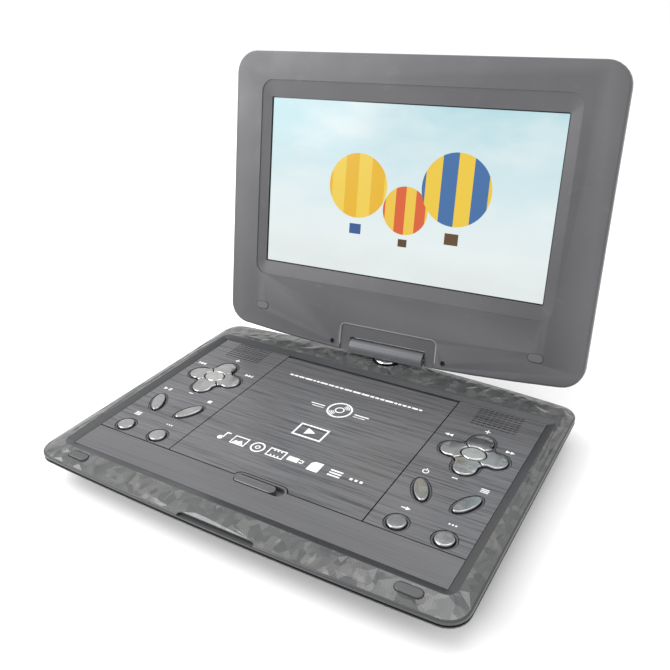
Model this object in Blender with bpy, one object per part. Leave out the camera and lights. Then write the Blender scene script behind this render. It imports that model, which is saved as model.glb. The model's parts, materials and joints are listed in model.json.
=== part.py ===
"""Portable DVD player: a clamshell with a swivelling, tilting screen, a disc lid and eighteen keys.

Sizes are in millimetres and MM turns them into metres. The world origin is the middle of the base's
footprint, at the level of the feet's undersides: X runs to the right, Y to the back and Z up.
The deck is the sunk field inside the base's frame. The screen leans back at rest, as in use.
"""

from math import atan, ceil, cos, pi, radians, sin, sqrt

import bmesh
import bpy
from mathutils import Vector
from mathutils.geometry import tessellate_polygon

MM = 0.001
GAP = 0.3  # between pieces that touch
SEAM = 0.8  # visible line between neighbouring panels
OVERCUT = 1.0  # how far a cutter runs past what it cuts

# Base
BASE_WIDTH = 287.0  # at the back
BASE_FLARE = 1.6  # how much further out each side is at the front
BASE_DEPTH = 214.6
BACK_BOW = 8.0
FRONT_BOW = 3.0
BASE_CORNER = 13.0
BACK_BULGE = 7.2  # swelling of the base's back edge round the hinge
BULGE_HALF_WIDTH = 34.0
UNDERSIDE_Z = 1.2
DECK_Z = 22.2
RIM_BAND = 0.8  # height of the bottom shell's upright edge
TUB_INSET = 26.0  # how far the flat underside lies inside the rim
TUB_CORNER = 6.0
SHELL_WALL = 2.2

# Frame and deck
DECK_WIDTH = 260.0
DECK_DEPTH = 160.0
DECK_CORNER = 0.7
FRONT_MARGIN = 21.7  # frame's front edge to deck
FRAME_RISE = 1.8  # inner edge of the frame above the deck
FRAME_FALL = 1.6  # inner edge of the frame above its outer edge
FRAME_CHAMFER = 5.0
FRAME_CORNER = 6.0
EDGE_ROUND = 0.8
FLOOR_THICKNESS = 1.5
PANEL_THICKNESS = 0.8
NOTCH_X = 2.5
NOTCH_LENGTH = 53.0
NOTCH_WIDTH = 6.0
NOTCH_DEPTH = 2.5  # from the front edge to the back

# Disc lid and its latch
LID_HALF_WIDTH = 69.4
LID_FRONT = 23.3  # from the deck's front edge
LID_BACK = 158.3
LID_THICKNESS = 2.4
LID_PIN_RADIUS = 0.8
LID_PIN_INSET = 4.3  # lid's back edge to its axis
LATCH_X = 1.6
LATCH_FROM_FRONT = 21.3
LATCH_SLOT_LENGTH = 35.5
LATCH_SLOT_WIDTH = 8.0
LATCH_RIM = 1.3  # width of the raised surround
LATCH_LENGTH = 29.3
LATCH_WIDTH = 6.2
LATCH_TRAVEL = 5.0
LATCH_PROUD = 0.4

# Disc drive
DISC_DIAMETER = 120.0
DISC_FROM_FRONT = 89.5
WELL_DEPTH = 4.0  # well rim to well floor
WELL_WALL = 1.5
SPINDLE_RADIUS = 1.5
HUB_RADIUS = 7.4
SEAT_RADIUS = 14.0
MOTOR_RADIUS = 12.5
PICKUP_WIDTH = 44.0
PICKUP_HEIGHT = 5.7
LENS_TO_DISC_EDGE = 6.0  # lens to the disc's edge, at the end of its travel
LENS_START = 24.0  # lens to spindle, nearest
LENS_RADIUS = 3.6
LENS_TO_FRONT = 4.5  # lens to the pickup's front
LENS_TO_BACK = 10.5
LENS_TO_RACK_END = 31.0
RACK_WIDTH = 2.0
RACK_HEIGHT = 2.6
RACK_ABOVE_PICKUP_BOTTOM = 2.2
RAIL_SPACING = 34.0
RAIL_RADIUS = 1.5
PINION_RADIUS = 6.0
PINION_TEETH = 16

# Keys
KEY_GROUP_X = 100.6
KEY_PITCH_X = 28.0
ROUND_KEY_Y = 31.0
OVAL_KEY_Y = 62.0
CROSS_Y = 107.0
ROUND_KEY_RADIUS = 5.5
OVAL_KEY_LENGTH = 19.6
OVAL_KEY_WIDTH = 8.4
OVAL_KEY_LEAN = 28.0
LOBE_REACH = 14.2  # middle of the cross to the middle of a lobe
LOBE_RADIUS = 7.2
LOBE_BLEND = 6.0  # how softly a lobe runs into the neck
CROSS_NECK = 12.4  # middle of the cross to the valley between two lobes
CENTRE_KEY_LENGTH = 15.4
CENTRE_KEY_WIDTH = 12.2
KEY_CLEARANCE = 0.4
KEY_SURROUND = 2.2  # key to edge of the panel round it
CROSS_SEAM = 0.5
KEY_PROUD = 1.1
CROSS_PROUD = 1.5
KEY_EDGE = 0.7
KEY_TRAVEL = 0.8
KEY_FLANGE = 1.2
KEY_FLANGE_THICKNESS = 1.0
BOARD_THICKNESS = 1.6

# Speakers and their slots
GRILLE_FROM_FRONT = 148.8
GRILLE_ROWS = 8
GRILLE_COLUMNS = 9
GRILLE_ROW_PITCH = 2.7
GRILLE_COLUMN_PITCH = 3.45
GRILLE_SLOT_LENGTH = 2.7
GRILLE_SLOT_WIDTH = 1.0
SPEAKER_RADIUS = 13.5
SPEAKER_HEIGHT = 5.5

# Hinge
HINGE_FROM_FRONT = 187.4
HINGE_ABOVE_DECK = 6.9
SWIVEL_AT_REST = 3.24
LEAN_AT_REST = 12.33
TURRET_RADIUS = 9.2
TURRET_ABOVE_DECK = 2.9
TURRET_SINK = 0.6  # floor of the turret's recess below the deck
NECK_RADIUS = 6.0
NECK_BORE = 3.0
BARREL_RADIUS = 6.2
BARREL_LENGTH = 58.6
SHAFT_RADIUS = 1.5
SHAFT_LENGTH = 74.0

# Screen: heights are from the hinge axis, depths from the front face
SCREEN_WIDTH = 281.0
SCREEN_SHIFT = 1.4  # outline to the right of the display's middle
SCREEN_TOP = 210.0
SCREEN_BELOW = 4.5
SCREEN_BOW = 7.8
SCREEN_CORNER = 16.0
AXIS_DEPTH = 3.6
BEZEL_DEPTH = 6.0
BEZEL_PLATE = 3.2
SCREEN_DEPTH = 14.5
SCREEN_WALL = 2.0
BORDER_HALF_WIDTH = 116.3
BORDER_BOTTOM = 44.7
BORDER_TOP = 190.4
BORDER_CORNER = 9.0
WINDOW_HALF_WIDTH = 109.0
WINDOW_BOTTOM = 54.8
WINDOW_TOP = 178.6
WINDOW_SINK = 2.0
BORDER_STEP = 0.6  # upright edge of the sunk border round the display
LCD_MARGIN = 4.0
LCD_THICKNESS = 4.0
POCKET_HALF_WIDTH = 38.3
POCKET_TOP = 17.3
POCKET_SINK = 1.0
SLOT_TOP = 7.4
SCREEN_SCREW_X = 44.8
SCREEN_SCREW_Z = 1.7

# Rubber
FOOT_RADIUS = 6.0
FOOT_X = 100.0
FOOT_Y = 66.0
FOOT_SINK = 1.3
BUMPER_X = 114.0
BUMPER_FROM_DECK = 10.2
BUMPER_LENGTH = 15.0
BUMPER_WIDTH = 5.6
BUMPER_PROUD = 0.8
SCREEN_BUMPER_X = 109.0
SCREEN_BUMPER_Z = 19.0
SCREEN_BUMPER_LENGTH = 10.4
SCREEN_BUMPER_PROUD = 0.5

# Sockets on the left side, front to back from the base's middle
PORT_BLOCK_HALF = 48.0
PORT_BLOCK_BOTTOM = 5.0
PORT_WALL = 2.0
PORT_Z = 12.2
CARD_Y = -32.0
USB_Y = -8.0
PHONES_Y = 12.0
DC_Y = 32.0

# Worked out from the sizes above
HALF_WIDTH = BASE_WIDTH / 2
FRONT = -BASE_DEPTH / 2
BACK = BASE_DEPTH / 2
DECK_FRONT = FRONT + FRONT_MARGIN
DECK_BACK = DECK_FRONT + DECK_DEPTH
FLOOR_TOP = DECK_Z - PANEL_THICKNESS - GAP
FLOOR_UNDER = FLOOR_TOP - FLOOR_THICKNESS
FRAME_INNER_Z = DECK_Z + FRAME_RISE
FRAME_OUTER_Z = FRAME_INNER_Z - FRAME_FALL
RIM_TOP = FLOOR_UNDER - SEAM
RIM_FOOT = RIM_TOP - RIM_BAND
TUB_FLOOR = UNDERSIDE_Z + SHELL_WALL
LID_UNDER = DECK_Z - LID_THICKNESS
LID_AXIS_Y = DECK_FRONT + LID_BACK - LID_PIN_INSET
LID_AXIS_Z = LID_UNDER - 0.4
LATCH_Y = DECK_FRONT + LATCH_FROM_FRONT
LATCH_REST_X = LATCH_X - (LATCH_SLOT_LENGTH - LATCH_LENGTH) / 2 + GAP
WELL_RIM = FLOOR_UNDER - GAP
WELL_FLOOR = WELL_RIM - WELL_DEPTH
WELL_UNDER = WELL_FLOOR - WELL_WALL
WELL_RADIUS = DISC_DIAMETER / 2 + 2.0
DISC_Y = DECK_FRONT + DISC_FROM_FRONT
PICKUP_TRAVEL = DISC_DIAMETER / 2 - LENS_TO_DISC_EDGE - LENS_START
SLIDE_TOP = WELL_UNDER - 0.6
RAIL_Z = SLIDE_TOP - PICKUP_HEIGHT / 2
PINION_X = PICKUP_WIDTH / 2 + 1.0 + PINION_RADIUS + GAP
PINION_Y = DISC_Y - LENS_START - 2.5
FLANGE_TOP = FLOOR_UNDER - KEY_CLEARANCE
FLANGE_UNDER = FLANGE_TOP - KEY_FLANGE_THICKNESS
BOARD_TOP = FLANGE_UNDER - KEY_TRAVEL - 0.1
BOARD_HALF_WIDTH = KEY_PITCH_X / 2 + 8.0
BOARD_FRONT = DECK_FRONT + ROUND_KEY_Y - 9.0
BOARD_BACK = DECK_FRONT + GRILLE_FROM_FRONT - SPEAKER_RADIUS - 2.0
HINGE_Y = DECK_FRONT + HINGE_FROM_FRONT
HINGE_Z = DECK_Z + HINGE_ABOVE_DECK
TURRET_TOP = DECK_Z + TURRET_ABOVE_DECK
TURRET_FLOOR = DECK_Z - TURRET_SINK
FACE_Y = -AXIS_DEPTH
SLOT_HALF_WIDTH = BARREL_LENGTH / 2 + 1.0
LCD_DEPTH = BEZEL_PLATE + GAP

objects = {}


# ---------------------------------------------------------------- outlines

def arc(cx, cy, radius, start, end, count):
    """Points on an arc, from start to end in degrees."""
    step = (end - start) / count
    turns = [radians(start + step * i) for i in range(count + 1)]
    return [(cx + radius * cos(t), cy + radius * sin(t)) for t in turns]


def circle(cx, cy, radius, count=24):
    return arc(cx, cy, radius, 0, 360, count)[:-1]


def ellipse(cx, cy, length, width, lean=0.0, count=24):
    """Ellipse whose length runs along Y, leaning towards +X by lean degrees."""
    c, s = cos(radians(lean)), sin(radians(lean))
    points = []
    for i in range(count):
        t = 2 * pi * i / count
        across, along = width / 2 * cos(t), length / 2 * sin(t)
        points.append((cx + across * c + along * s, cy - across * s + along * c))
    return points


def stadium(cx, cy, length, width, count=8):
    """Bar along X with round ends."""
    r = width / 2
    reach = length / 2 - r
    return arc(cx + reach, cy, r, -90, 90, count) + arc(cx - reach, cy, r, 90, 270, count)


def rectangle(x0, y0, x1, y1, corner=0.0, count=4):
    if not corner:
        return [(x0, y0), (x1, y0), (x1, y1), (x0, y1)]
    return (
        arc(x1 - corner, y0 + corner, corner, -90, 0, count)
        + arc(x1 - corner, y1 - corner, corner, 0, 90, count)
        + arc(x0 + corner, y1 - corner, corner, 90, 180, count)
        + arc(x0 + corner, y0 + corner, corner, 180, 270, count)
    )


def bowed_side(half, edge, bow, corner, count, segments):
    """Right half of an edge that bows out by bow in its middle, with a tangent corner; from x=0."""
    slope = 0.0
    for _ in range(8):
        x_end = half - corner + corner * sin(slope)
        slope = atan(2 * bow * x_end / half**2)
    y_end = edge - bow * (x_end / half) ** 2
    y_centre = y_end - corner * cos(slope)
    xs = [x_end * (i / segments) ** 1.6 for i in range(segments)]
    run = [(x, edge - bow * (x / half) ** 2) for x in xs]
    turn = arc(half - corner, y_centre, corner, 90 - slope * 180 / pi, 0, count)
    return run + turn


def panel_outline(half, low, high, low_bow, high_bow, low_corner, high_corner, count=7, segments=6):
    """Closed outline, symmetric in X, whose low and high edges bow outwards."""
    upper = bowed_side(half, high, high_bow, high_corner, count, segments)
    lower = bowed_side(half, -low, low_bow, low_corner, count, segments)
    right = [(x, -y) for x, y in lower] + upper[::-1]
    left = [(-x, y) for x, y in right[::-1] if x > 1e-6]
    return right + left


def base_outline(inset):
    """The base's plan shape, inset evenly, with its bulge round the hinge fading out inwards."""
    corner = max(BASE_CORNER - inset, TUB_CORNER)
    half, low, high = HALF_WIDTH - inset, FRONT + inset, BACK - inset
    outline = panel_outline(half, low, high, FRONT_BOW, BACK_BOW, corner, corner, segments=16)
    bulge = BACK_BULGE * max(0.0, 1 - inset / TUB_INSET)
    swollen = []
    for x, y in outline:
        if y > 0 and abs(x) < BULGE_HALF_WIDTH:
            y += bulge * (1 + cos(pi * x / BULGE_HALF_WIDTH)) / 2
        flare = BASE_FLARE * (BACK - y) / BASE_DEPTH
        swollen.append((x * (1 + flare / HALF_WIDTH), y))
    return swollen


def deck_outline(grow, corner):
    """The deck's plan shape, with as many points as the base's."""
    low, high = DECK_FRONT - grow, DECK_BACK + grow
    return panel_outline(DECK_WIDTH / 2 + grow, low, high, 0, 0, corner, corner, segments=16)


def screen_outline(inset):
    corner = max(SCREEN_CORNER - inset, 3.0)
    low, high = inset - SCREEN_BELOW, SCREEN_TOP - inset
    outline = panel_outline(SCREEN_WIDTH / 2 - inset, low, high, SCREEN_BOW, 0, corner, corner)
    return [(x + SCREEN_SHIFT, y) for x, y in outline]


def offset(loop, distance):
    """Grow a counter-clockwise loop outwards by a small distance."""
    grown = []
    for before, here, after in zip(loop[-1:] + loop[:-1], loop, loop[1:] + loop[:1]):
        a = Vector((here[0] - before[0], here[1] - before[1])).normalized()
        b = Vector((after[0] - here[0], after[1] - here[1])).normalized()
        normal = Vector((a.y + b.y, -a.x - b.x))
        reach = 2 * distance / normal.length_squared
        grown.append((here[0] + normal.x * reach, here[1] + normal.y * reach))
    return grown


def cross_radius(angle, grow):
    """Edge of the cross pad's four round lobes, at an angle in radians from a lobe's middle."""
    turn = (angle + pi / 4) % (pi / 2) - pi / 4
    inside = (LOBE_RADIUS + grow) ** 2 - (LOBE_REACH * sin(turn)) ** 2
    reach = LOBE_REACH * cos(turn) + sqrt((inside + sqrt(inside**2 + LOBE_BLEND**2)) / 2)
    return (reach**12 + (CROSS_NECK + grow) ** 12) ** (1 / 12)


def cross_outline(cx, cy, grow, count=64):
    turns = [2 * pi * i / count for i in range(count)]
    return [(cx + cross_radius(t, grow) * cos(t), cy + cross_radius(t, grow) * sin(t)) for t in turns]


def lobe_outline(cx, cy, turn, grow, count=20):
    """One lobe of the cross, in direction turn; growing moves its outer edge, shrinking all of it."""
    shrink = max(-grow, 0.0)
    long_half = CENTRE_KEY_LENGTH / 2 + KEY_CLEARANCE + shrink
    short_half = CENTRE_KEY_WIDTH / 2 + KEY_CLEARANCE + shrink
    seam = CROSS_SEAM / 2 + shrink
    points = []
    edge = pi / 4 - seam / cross_radius(pi / 4, grow)
    for i in range(count + 1):
        t = edge * (2 * i / count - 1)
        points.append((t + radians(turn), cross_radius(t, grow)))
    edge = pi / 4 - seam / sqrt(long_half * short_half)
    for i in range(7):
        t = edge * (1 - i / 3) + radians(turn)
        r = long_half * short_half / sqrt((short_half * cos(t)) ** 2 + (long_half * sin(t)) ** 2)
        points.append((t, r))
    return [(cx + r * cos(t), cy + r * sin(t)) for t, r in points]


# ---------------------------------------------------------------- solids

def flat(x, y, level):
    return (x, y, level)


def upright(x, z, depth):
    """A drawing in X and Z, with its levels running to the back."""
    return (x, depth, z)


def sideways(y, z, level):
    """A drawing in Y and Z, with its levels running to the right."""
    return (level, y, z)


def finish_mesh(bm, name):
    bmesh.ops.recalc_face_normals(bm, faces=bm.faces)
    mesh = bpy.data.meshes.new(name)
    bm.to_mesh(mesh)
    bm.free()
    return mesh


def loft(sections, place=flat):
    """Solid through outlines of equal point counts, [(outline, level), ...], capped at both ends."""
    bm = bmesh.new()
    rings = []
    for outline, level in sections:
        points = [place(a, b, level) for a, b in outline]
        rings.append([bm.verts.new([c * MM for c in point]) for point in points])
    for lower, upper in zip(rings, rings[1:]):
        for i in range(len(lower)):
            j = (i + 1) % len(lower)
            bm.faces.new((lower[i], lower[j], upper[j], upper[i]))
    bm.faces.new(rings[0])
    bm.faces.new(rings[-1])
    return bm


def prism(outline, low, high, place=flat, holes=()):
    """Straight solid with holes that run right through it."""
    loops = [outline, *holes]
    triangles = tessellate_polygon([[Vector((a, b, 0)) for a, b in loop] for loop in loops])
    bm = bmesh.new()
    layers = []
    for level in (low, high):
        points = [place(a, b, level) for loop in loops for a, b in loop]
        layers.append([bm.verts.new([c * MM for c in point]) for point in points])
    for corners in triangles:
        for layer in layers:
            bm.faces.new([layer[i] for i in corners])
    start = 0
    for loop in loops:
        for i in range(len(loop)):
            a, b = start + i, start + (i + 1) % len(loop)
            bm.faces.new((layers[0][a], layers[0][b], layers[1][b], layers[1][a]))
        start += len(loop)
    return bm


def box(x0, y0, z0, x1, y1, z1):
    return prism(rectangle(x0, y0, x1, y1), z0, z1)


def turned(profile, cx, cy, count=32):
    """Solid of revolution about a vertical axis; profile is (radius, z), closed, bore included."""
    bm = bmesh.new()
    rings = []
    for radius, z in profile:
        rings.append([bm.verts.new((x * MM, y * MM, z * MM)) for x, y in circle(cx, cy, radius, count)])
    for lower, upper in zip(rings, rings[1:] + rings[:1]):
        for i in range(count):
            j = (i + 1) % count
            bm.faces.new((lower[i], lower[j], upper[j], upper[i]))
    return bm


def material(name, colour, roughness, metallic=0.0):
    made = bpy.data.materials.get(name)
    if made:
        return made
    made = bpy.data.materials.new(name)
    made.use_nodes = True
    shader = made.node_tree.nodes["Principled BSDF"]
    shader.inputs["Base Color"].default_value = (*colour, 1.0)
    shader.inputs["Roughness"].default_value = roughness
    shader.inputs["Metallic"].default_value = metallic
    return made


def add(name, bm, finish, parent=None, plus=(), minus=(), smooth=True):
    """Make a named piece from a solid, with other solids joined to it and cut from it."""
    piece = bpy.data.objects.new(name, finish_mesh(bm, name))
    bpy.context.collection.objects.link(piece)
    for operation, tools in (("UNION", plus), ("DIFFERENCE", minus)):
        for i, tool_mesh in enumerate(tools):
            tool_name = f"{name}_{operation.lower()}_{i}"
            tool = bpy.data.objects.new(tool_name, finish_mesh(tool_mesh, tool_name))
            bpy.context.collection.objects.link(tool)
            tool.hide_render = True
            tool.display_type = "WIRE"
            tool.parent = parent
            cut = piece.modifiers.new(tool_name, "BOOLEAN")
            cut.operation = operation
            cut.solver = "EXACT"
            cut.object = tool
    piece.data.materials.append(finish)
    if smooth:
        piece.data.shade_smooth()
        piece.data.set_sharp_from_angle(angle=radians(32))
    piece.parent = parent
    objects[name] = piece
    return piece


def axis_empty(name, location, parent=None):
    """An empty on a joint's axis, which carries the pieces that turn about it."""
    empty = bpy.data.objects.new(name, None)
    bpy.context.collection.objects.link(empty)
    empty.location = [c * MM for c in location]
    empty.parent = parent
    return empty


def move_origin(piece, x, y, z):
    """Put a piece's origin on its joint's axis, leaving the piece where it is."""
    shift = Vector((x, y, z)) * MM
    for vertex in piece.data.vertices:
        vertex.co -= shift
    piece.location = shift


# ---------------------------------------------------------------- finishes

DARK_PLASTIC = ((0.075, 0.078, 0.082), 0.42)
FRAME_PLASTIC = ((0.085, 0.09, 0.09), 0.32)
BRUSHED = ((0.16, 0.16, 0.17), 0.38, 0.55)
CHROME = ((0.75, 0.75, 0.76), 0.14, 1.0)
STEEL = ((0.55, 0.55, 0.56), 0.3, 1.0)
RUBBER = ((0.03, 0.03, 0.032), 0.8)
BOARD_GREEN = ((0.03, 0.16, 0.07), 0.5)


def plastic():
    return material("housing_plastic", *DARK_PLASTIC)


def frame_plastic():
    return material("frame_plastic", *FRAME_PLASTIC)


def brushed():
    return material("brushed_panel", *BRUSHED)


def chrome():
    return material("chrome", *CHROME)


def steel():
    return material("steel", *STEEL)


def rubber():
    return material("rubber", *RUBBER)


def board_green():
    return material("circuit_board", *BOARD_GREEN)


def inner_black():
    return material("inner_plastic", (0.02, 0.02, 0.022), 0.6)


# ---------------------------------------------------------------- base shells

def feet_places():
    return {
        "foot_front_left": (-FOOT_X, -FOOT_Y),
        "foot_front_right": (FOOT_X, -FOOT_Y),
        "foot_back_left": (-FOOT_X, FOOT_Y),
        "foot_back_right": (FOOT_X, FOOT_Y),
    }


def build_bottom_shell():
    wall = SHELL_WALL
    sections = [
        (base_outline(TUB_INSET), UNDERSIDE_Z),
        (base_outline(TUB_INSET - 3.0), UNDERSIDE_Z + 1.0),
        (base_outline(0.8), RIM_FOOT - 0.6),
        (base_outline(0), RIM_FOOT),
        (base_outline(0), RIM_TOP),
        (base_outline(wall), RIM_TOP),
        (base_outline(wall + 0.8), RIM_FOOT - 0.3),
        (base_outline(TUB_INSET - 0.5), TUB_FLOOR),
    ]
    left = -HALF_WIDTH + 1.0
    inner = left + PORT_WALL
    well = -HALF_WIDTH + TUB_INSET + 4.0
    end = -KEY_GROUP_X - BOARD_HALF_WIDTH - 2 * GAP
    block = box(left, -PORT_BLOCK_HALF, PORT_BLOCK_BOTTOM, end, PORT_BLOCK_HALF, RIM_FOOT + 0.4)
    half = PORT_BLOCK_HALF - PORT_WALL
    hollow = box(inner, -half, PORT_BLOCK_BOTTOM + PORT_WALL, well, half, RIM_TOP + OVERCUT)
    cuts = [hollow]
    for x, y in feet_places().values():
        hole = circle(x, y, FOOT_RADIUS + GAP)
        cuts.append(prism(hole, UNDERSIDE_Z - OVERCUT, UNDERSIDE_Z + FOOT_SINK))
    past = (left - OVERCUT, inner + OVERCUT)
    cuts.append(prism(circle(DC_Y, PORT_Z, 3.3, 20), *past, sideways))
    cuts.append(prism(circle(PHONES_Y, PORT_Z, 2.2, 16), *past, sideways))
    cuts.append(prism(rectangle(USB_Y - 6.5, PORT_Z - 2.9, USB_Y + 6.5, PORT_Z + 2.9), *past, sideways))
    mouth = rectangle(CARD_Y - 12.6, PORT_Z - 1.5, CARD_Y + 12.6, PORT_Z + 1.5)
    cuts.append(prism(mouth, *past, sideways))
    post_top = main_board_under() - GAP
    posts = [prism(circle(x, y, 2.5, 12), TUB_FLOOR - 0.5, post_top) for x, y in board_posts()]
    add("bottom_shell", loft(sections), plastic(), plus=[block, *posts], minus=cuts)


def main_board_under():
    return TUB_FLOOR + 2.2


def main_board_plan():
    return KEY_GROUP_X - 22.0, BOARD_FRONT, KEY_GROUP_X + 12.0, BOARD_BACK


def board_posts():
    x0, y0, x1, y1 = main_board_plan()
    return [(x, y) for x in (x0 + 4.0, x1 - 4.0) for y in (y0 + 4.0, y1 - 4.0)]


def lid_plan():
    """The lid's outline, notched round the latch's surround."""
    front = DECK_FRONT + LID_FRONT
    r = LATCH_SLOT_WIDTH / 2 + LATCH_RIM + SEAM
    reach = LATCH_SLOT_LENGTH / 2 - LATCH_SLOT_WIDTH / 2
    lift = front - LATCH_Y
    start = atan(lift / sqrt(r * r - lift * lift)) * 180 / pi
    right = arc(LATCH_X + reach, LATCH_Y, r, start, 90, 5)
    left = arc(LATCH_X - reach, LATCH_Y, r, 90, 180 - start, 5)
    notch = [(-LID_HALF_WIDTH, front), *left[::-1], *right[::-1], (LID_HALF_WIDTH, front)]
    back = DECK_FRONT + LID_BACK
    return notch + [(LID_HALF_WIDTH, back), (-LID_HALF_WIDTH, back)]


def key_places():
    """Name, kind, centre and direction of each key; kinds are round, oval, lobe and centre."""
    places = {}
    for side, sign in (("left", -1), ("right", 1)):
        cx = sign * KEY_GROUP_X
        cross_y = DECK_FRONT + CROSS_Y
        for turn, way in ((0, "right"), (90, "back"), (180, "left"), (270, "front")):
            places[f"key_{side}_pad_{way}"] = ("lobe", cx, cross_y, turn)
        places[f"key_{side}_pad_centre"] = ("centre", cx, cross_y, 90)
        for spot, way in (("outer", sign), ("inner", -sign)):
            x = cx + way * KEY_PITCH_X / 2
            lean = OVAL_KEY_LEAN * (1 if x > cx else -1)
            places[f"key_{side}_round_{spot}"] = ("round", x, DECK_FRONT + ROUND_KEY_Y, 0)
            places[f"key_{side}_oval_{spot}"] = ("oval", x, DECK_FRONT + OVAL_KEY_Y, lean)
    return places


def key_outline(kind, x, y, turn, grow):
    if kind == "round":
        return circle(x, y, ROUND_KEY_RADIUS + grow)
    if kind == "oval":
        return ellipse(x, y, OVAL_KEY_LENGTH + 2 * grow, OVAL_KEY_WIDTH + 2 * grow, turn)
    if kind == "centre":
        return ellipse(x, y, CENTRE_KEY_LENGTH + 2 * grow, CENTRE_KEY_WIDTH + 2 * grow, turn)
    return lobe_outline(x, y, turn, grow)


def key_holes(sign, grow):
    """Outlines of the holes round one side's keys, the whole cross pad having one hole."""
    holes = [cross_outline(sign * KEY_GROUP_X, DECK_FRONT + CROSS_Y, grow)]
    for kind, x, y, turn in key_places().values():
        if kind in ("round", "oval") and x * sign > 0:
            holes.append(key_outline(kind, x, y, turn, grow))
    return holes


def latch_slot(grow):
    return stadium(LATCH_X, LATCH_Y, LATCH_SLOT_LENGTH + 2 * grow, LATCH_SLOT_WIDTH + 2 * grow)


def bumper_places():
    y = DECK_FRONT - BUMPER_FROM_DECK
    return {"bumper_front_left": (-BUMPER_X, y), "bumper_front_right": (BUMPER_X, y)}


def frame_height(y_from_inner, run):
    """Height of the frame's top at a distance out from its inner edge, over a run to its outer edge."""
    return FRAME_INNER_Z - FRAME_FALL * y_from_inner / run


def bumper_floor():
    run = FRONT_MARGIN - FRAME_CHAMFER
    return frame_height(BUMPER_FROM_DECK - FRAME_CHAMFER, run) - 1.2


def build_top_housing():
    sections = [
        (base_outline(0.5), FLOOR_UNDER),
        (base_outline(0), FLOOR_UNDER + 0.4),
        (base_outline(0), FRAME_OUTER_Z - EDGE_ROUND),
        (base_outline(0.3), FRAME_OUTER_Z - 0.3),
        (base_outline(EDGE_ROUND), FRAME_OUTER_Z),
        (deck_outline(FRAME_CHAMFER, FRAME_CORNER), FRAME_INNER_Z),
        (deck_outline(0, DECK_CORNER), DECK_Z),
        (deck_outline(0, DECK_CORNER), FLOOR_TOP),
    ]
    above = FRAME_INNER_Z + OVERCUT
    below = FLOOR_UNDER - OVERCUT
    cuts = [prism(offset(lid_plan(), SEAM), below, above)]
    for sign in (-1, 1):
        cuts += [prism(hole, below, above) for hole in key_holes(sign, KEY_CLEARANCE)]
    cuts.append(prism(latch_slot(0), below, above))
    for x in (-KEY_GROUP_X, KEY_GROUP_X):
        wide, deep = grille_size()
        y = DECK_FRONT + GRILLE_FROM_FRONT
        hole = rectangle(x - wide / 2, y - deep / 2, x + wide / 2, y + deep / 2, 2.0)
        cuts.append(prism(hole, below, above))
    cuts.append(prism(circle(0, HINGE_Y, TURRET_RADIUS + 1.8, 40), TURRET_FLOOR, above))
    cuts.append(prism(circle(0, HINGE_Y, NECK_RADIUS + GAP, 32), below, above))
    for x, y in bumper_places().values():
        well = stadium(x, y, BUMPER_LENGTH + 2 * GAP, BUMPER_WIDTH + 2 * GAP)
        cuts.append(prism(well, bumper_floor(), above))
    notch = stadium(NOTCH_X, FRONT + NOTCH_DEPTH - NOTCH_WIDTH / 2, NOTCH_LENGTH, NOTCH_WIDTH)
    cuts.append(prism(notch, FRAME_OUTER_Z - 1.0, above))
    extra = [lid_bearing(-1), lid_bearing(1)]
    for x in (-KEY_GROUP_X, KEY_GROUP_X):
        for dx in (-BOARD_HALF_WIDTH + 2.5, BOARD_HALF_WIDTH - 2.5):
            for y in (BOARD_FRONT + 2.5, BOARD_BACK - 2.5):
                extra.append(prism(circle(x + dx, y, 1.5, 12), BOARD_TOP + GAP, FLOOR_UNDER + 0.5))
    bore = circle(LID_AXIS_Y, LID_AXIS_Z, LID_PIN_RADIUS + GAP, 16)
    reach = LID_HALF_WIDTH + SEAM
    for sign in (-1, 1):
        ends = sorted((sign * (reach - 0.4), sign * (reach + 2.9)))
        cuts.append(prism(bore, *ends, sideways))
    add("top_housing", loft(sections), frame_plastic(), plus=extra, minus=cuts)


def lid_bearing(sign):
    """Block under the deck's floor that carries one of the lid's pins."""
    near, far = sorted((sign * (LID_HALF_WIDTH + SEAM), sign * (LID_HALF_WIDTH + SEAM + 4.2)))
    return box(near, LID_AXIS_Y - 3.2, LID_AXIS_Z - 2.4, far, LID_AXIS_Y + 3.2, FLOOR_UNDER + 0.6)


def grille_size():
    """Width and depth of the opening over a speaker, round all of its slots."""
    wide = GRILLE_COLUMNS * GRILLE_COLUMN_PITCH + 1.6
    deep = (GRILLE_ROWS - 1) * GRILLE_ROW_PITCH + GRILLE_SLOT_WIDTH + 1.6
    return wide, deep


def grille_slots(cx):
    slots = []
    for row in range(GRILLE_ROWS):
        y = DECK_FRONT + GRILLE_FROM_FRONT + (row - (GRILLE_ROWS - 1) / 2) * GRILLE_ROW_PITCH
        for column in range(GRILLE_COLUMNS):
            x = cx + (column - (GRILLE_COLUMNS - 1) / 2) * GRILLE_COLUMN_PITCH
            half, thin = GRILLE_SLOT_LENGTH / 2, GRILLE_SLOT_WIDTH / 2
            slots.append(rectangle(x - half, y - thin, x + half, y + thin))
    return slots


def build_panels():
    low, high = FLOOR_TOP + GAP, DECK_Z
    inner = LID_HALF_WIDTH + SEAM
    outer = DECK_WIDTH / 2 - GAP
    front = DECK_FRONT + LID_FRONT
    for side, sign in (("left", -1), ("right", 1)):
        x0, x1 = sorted((sign * inner, sign * outer))
        plan = rectangle(x0, front, x1, DECK_BACK - GAP)
        holes = key_holes(sign, KEY_SURROUND) + grille_slots(sign * KEY_GROUP_X)
        add(f"key_panel_{side}", prism(plan, low, high, holes=holes), brushed())
    strip = rectangle(-outer, DECK_FRONT + GAP, outer, front - SEAM)
    surround = prism(latch_slot(LATCH_RIM), low, high)
    slot = prism(latch_slot(0), low - OVERCUT, high + OVERCUT)
    add("front_panel", prism(strip, low, high), brushed(), plus=[surround], minus=[slot])


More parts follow.
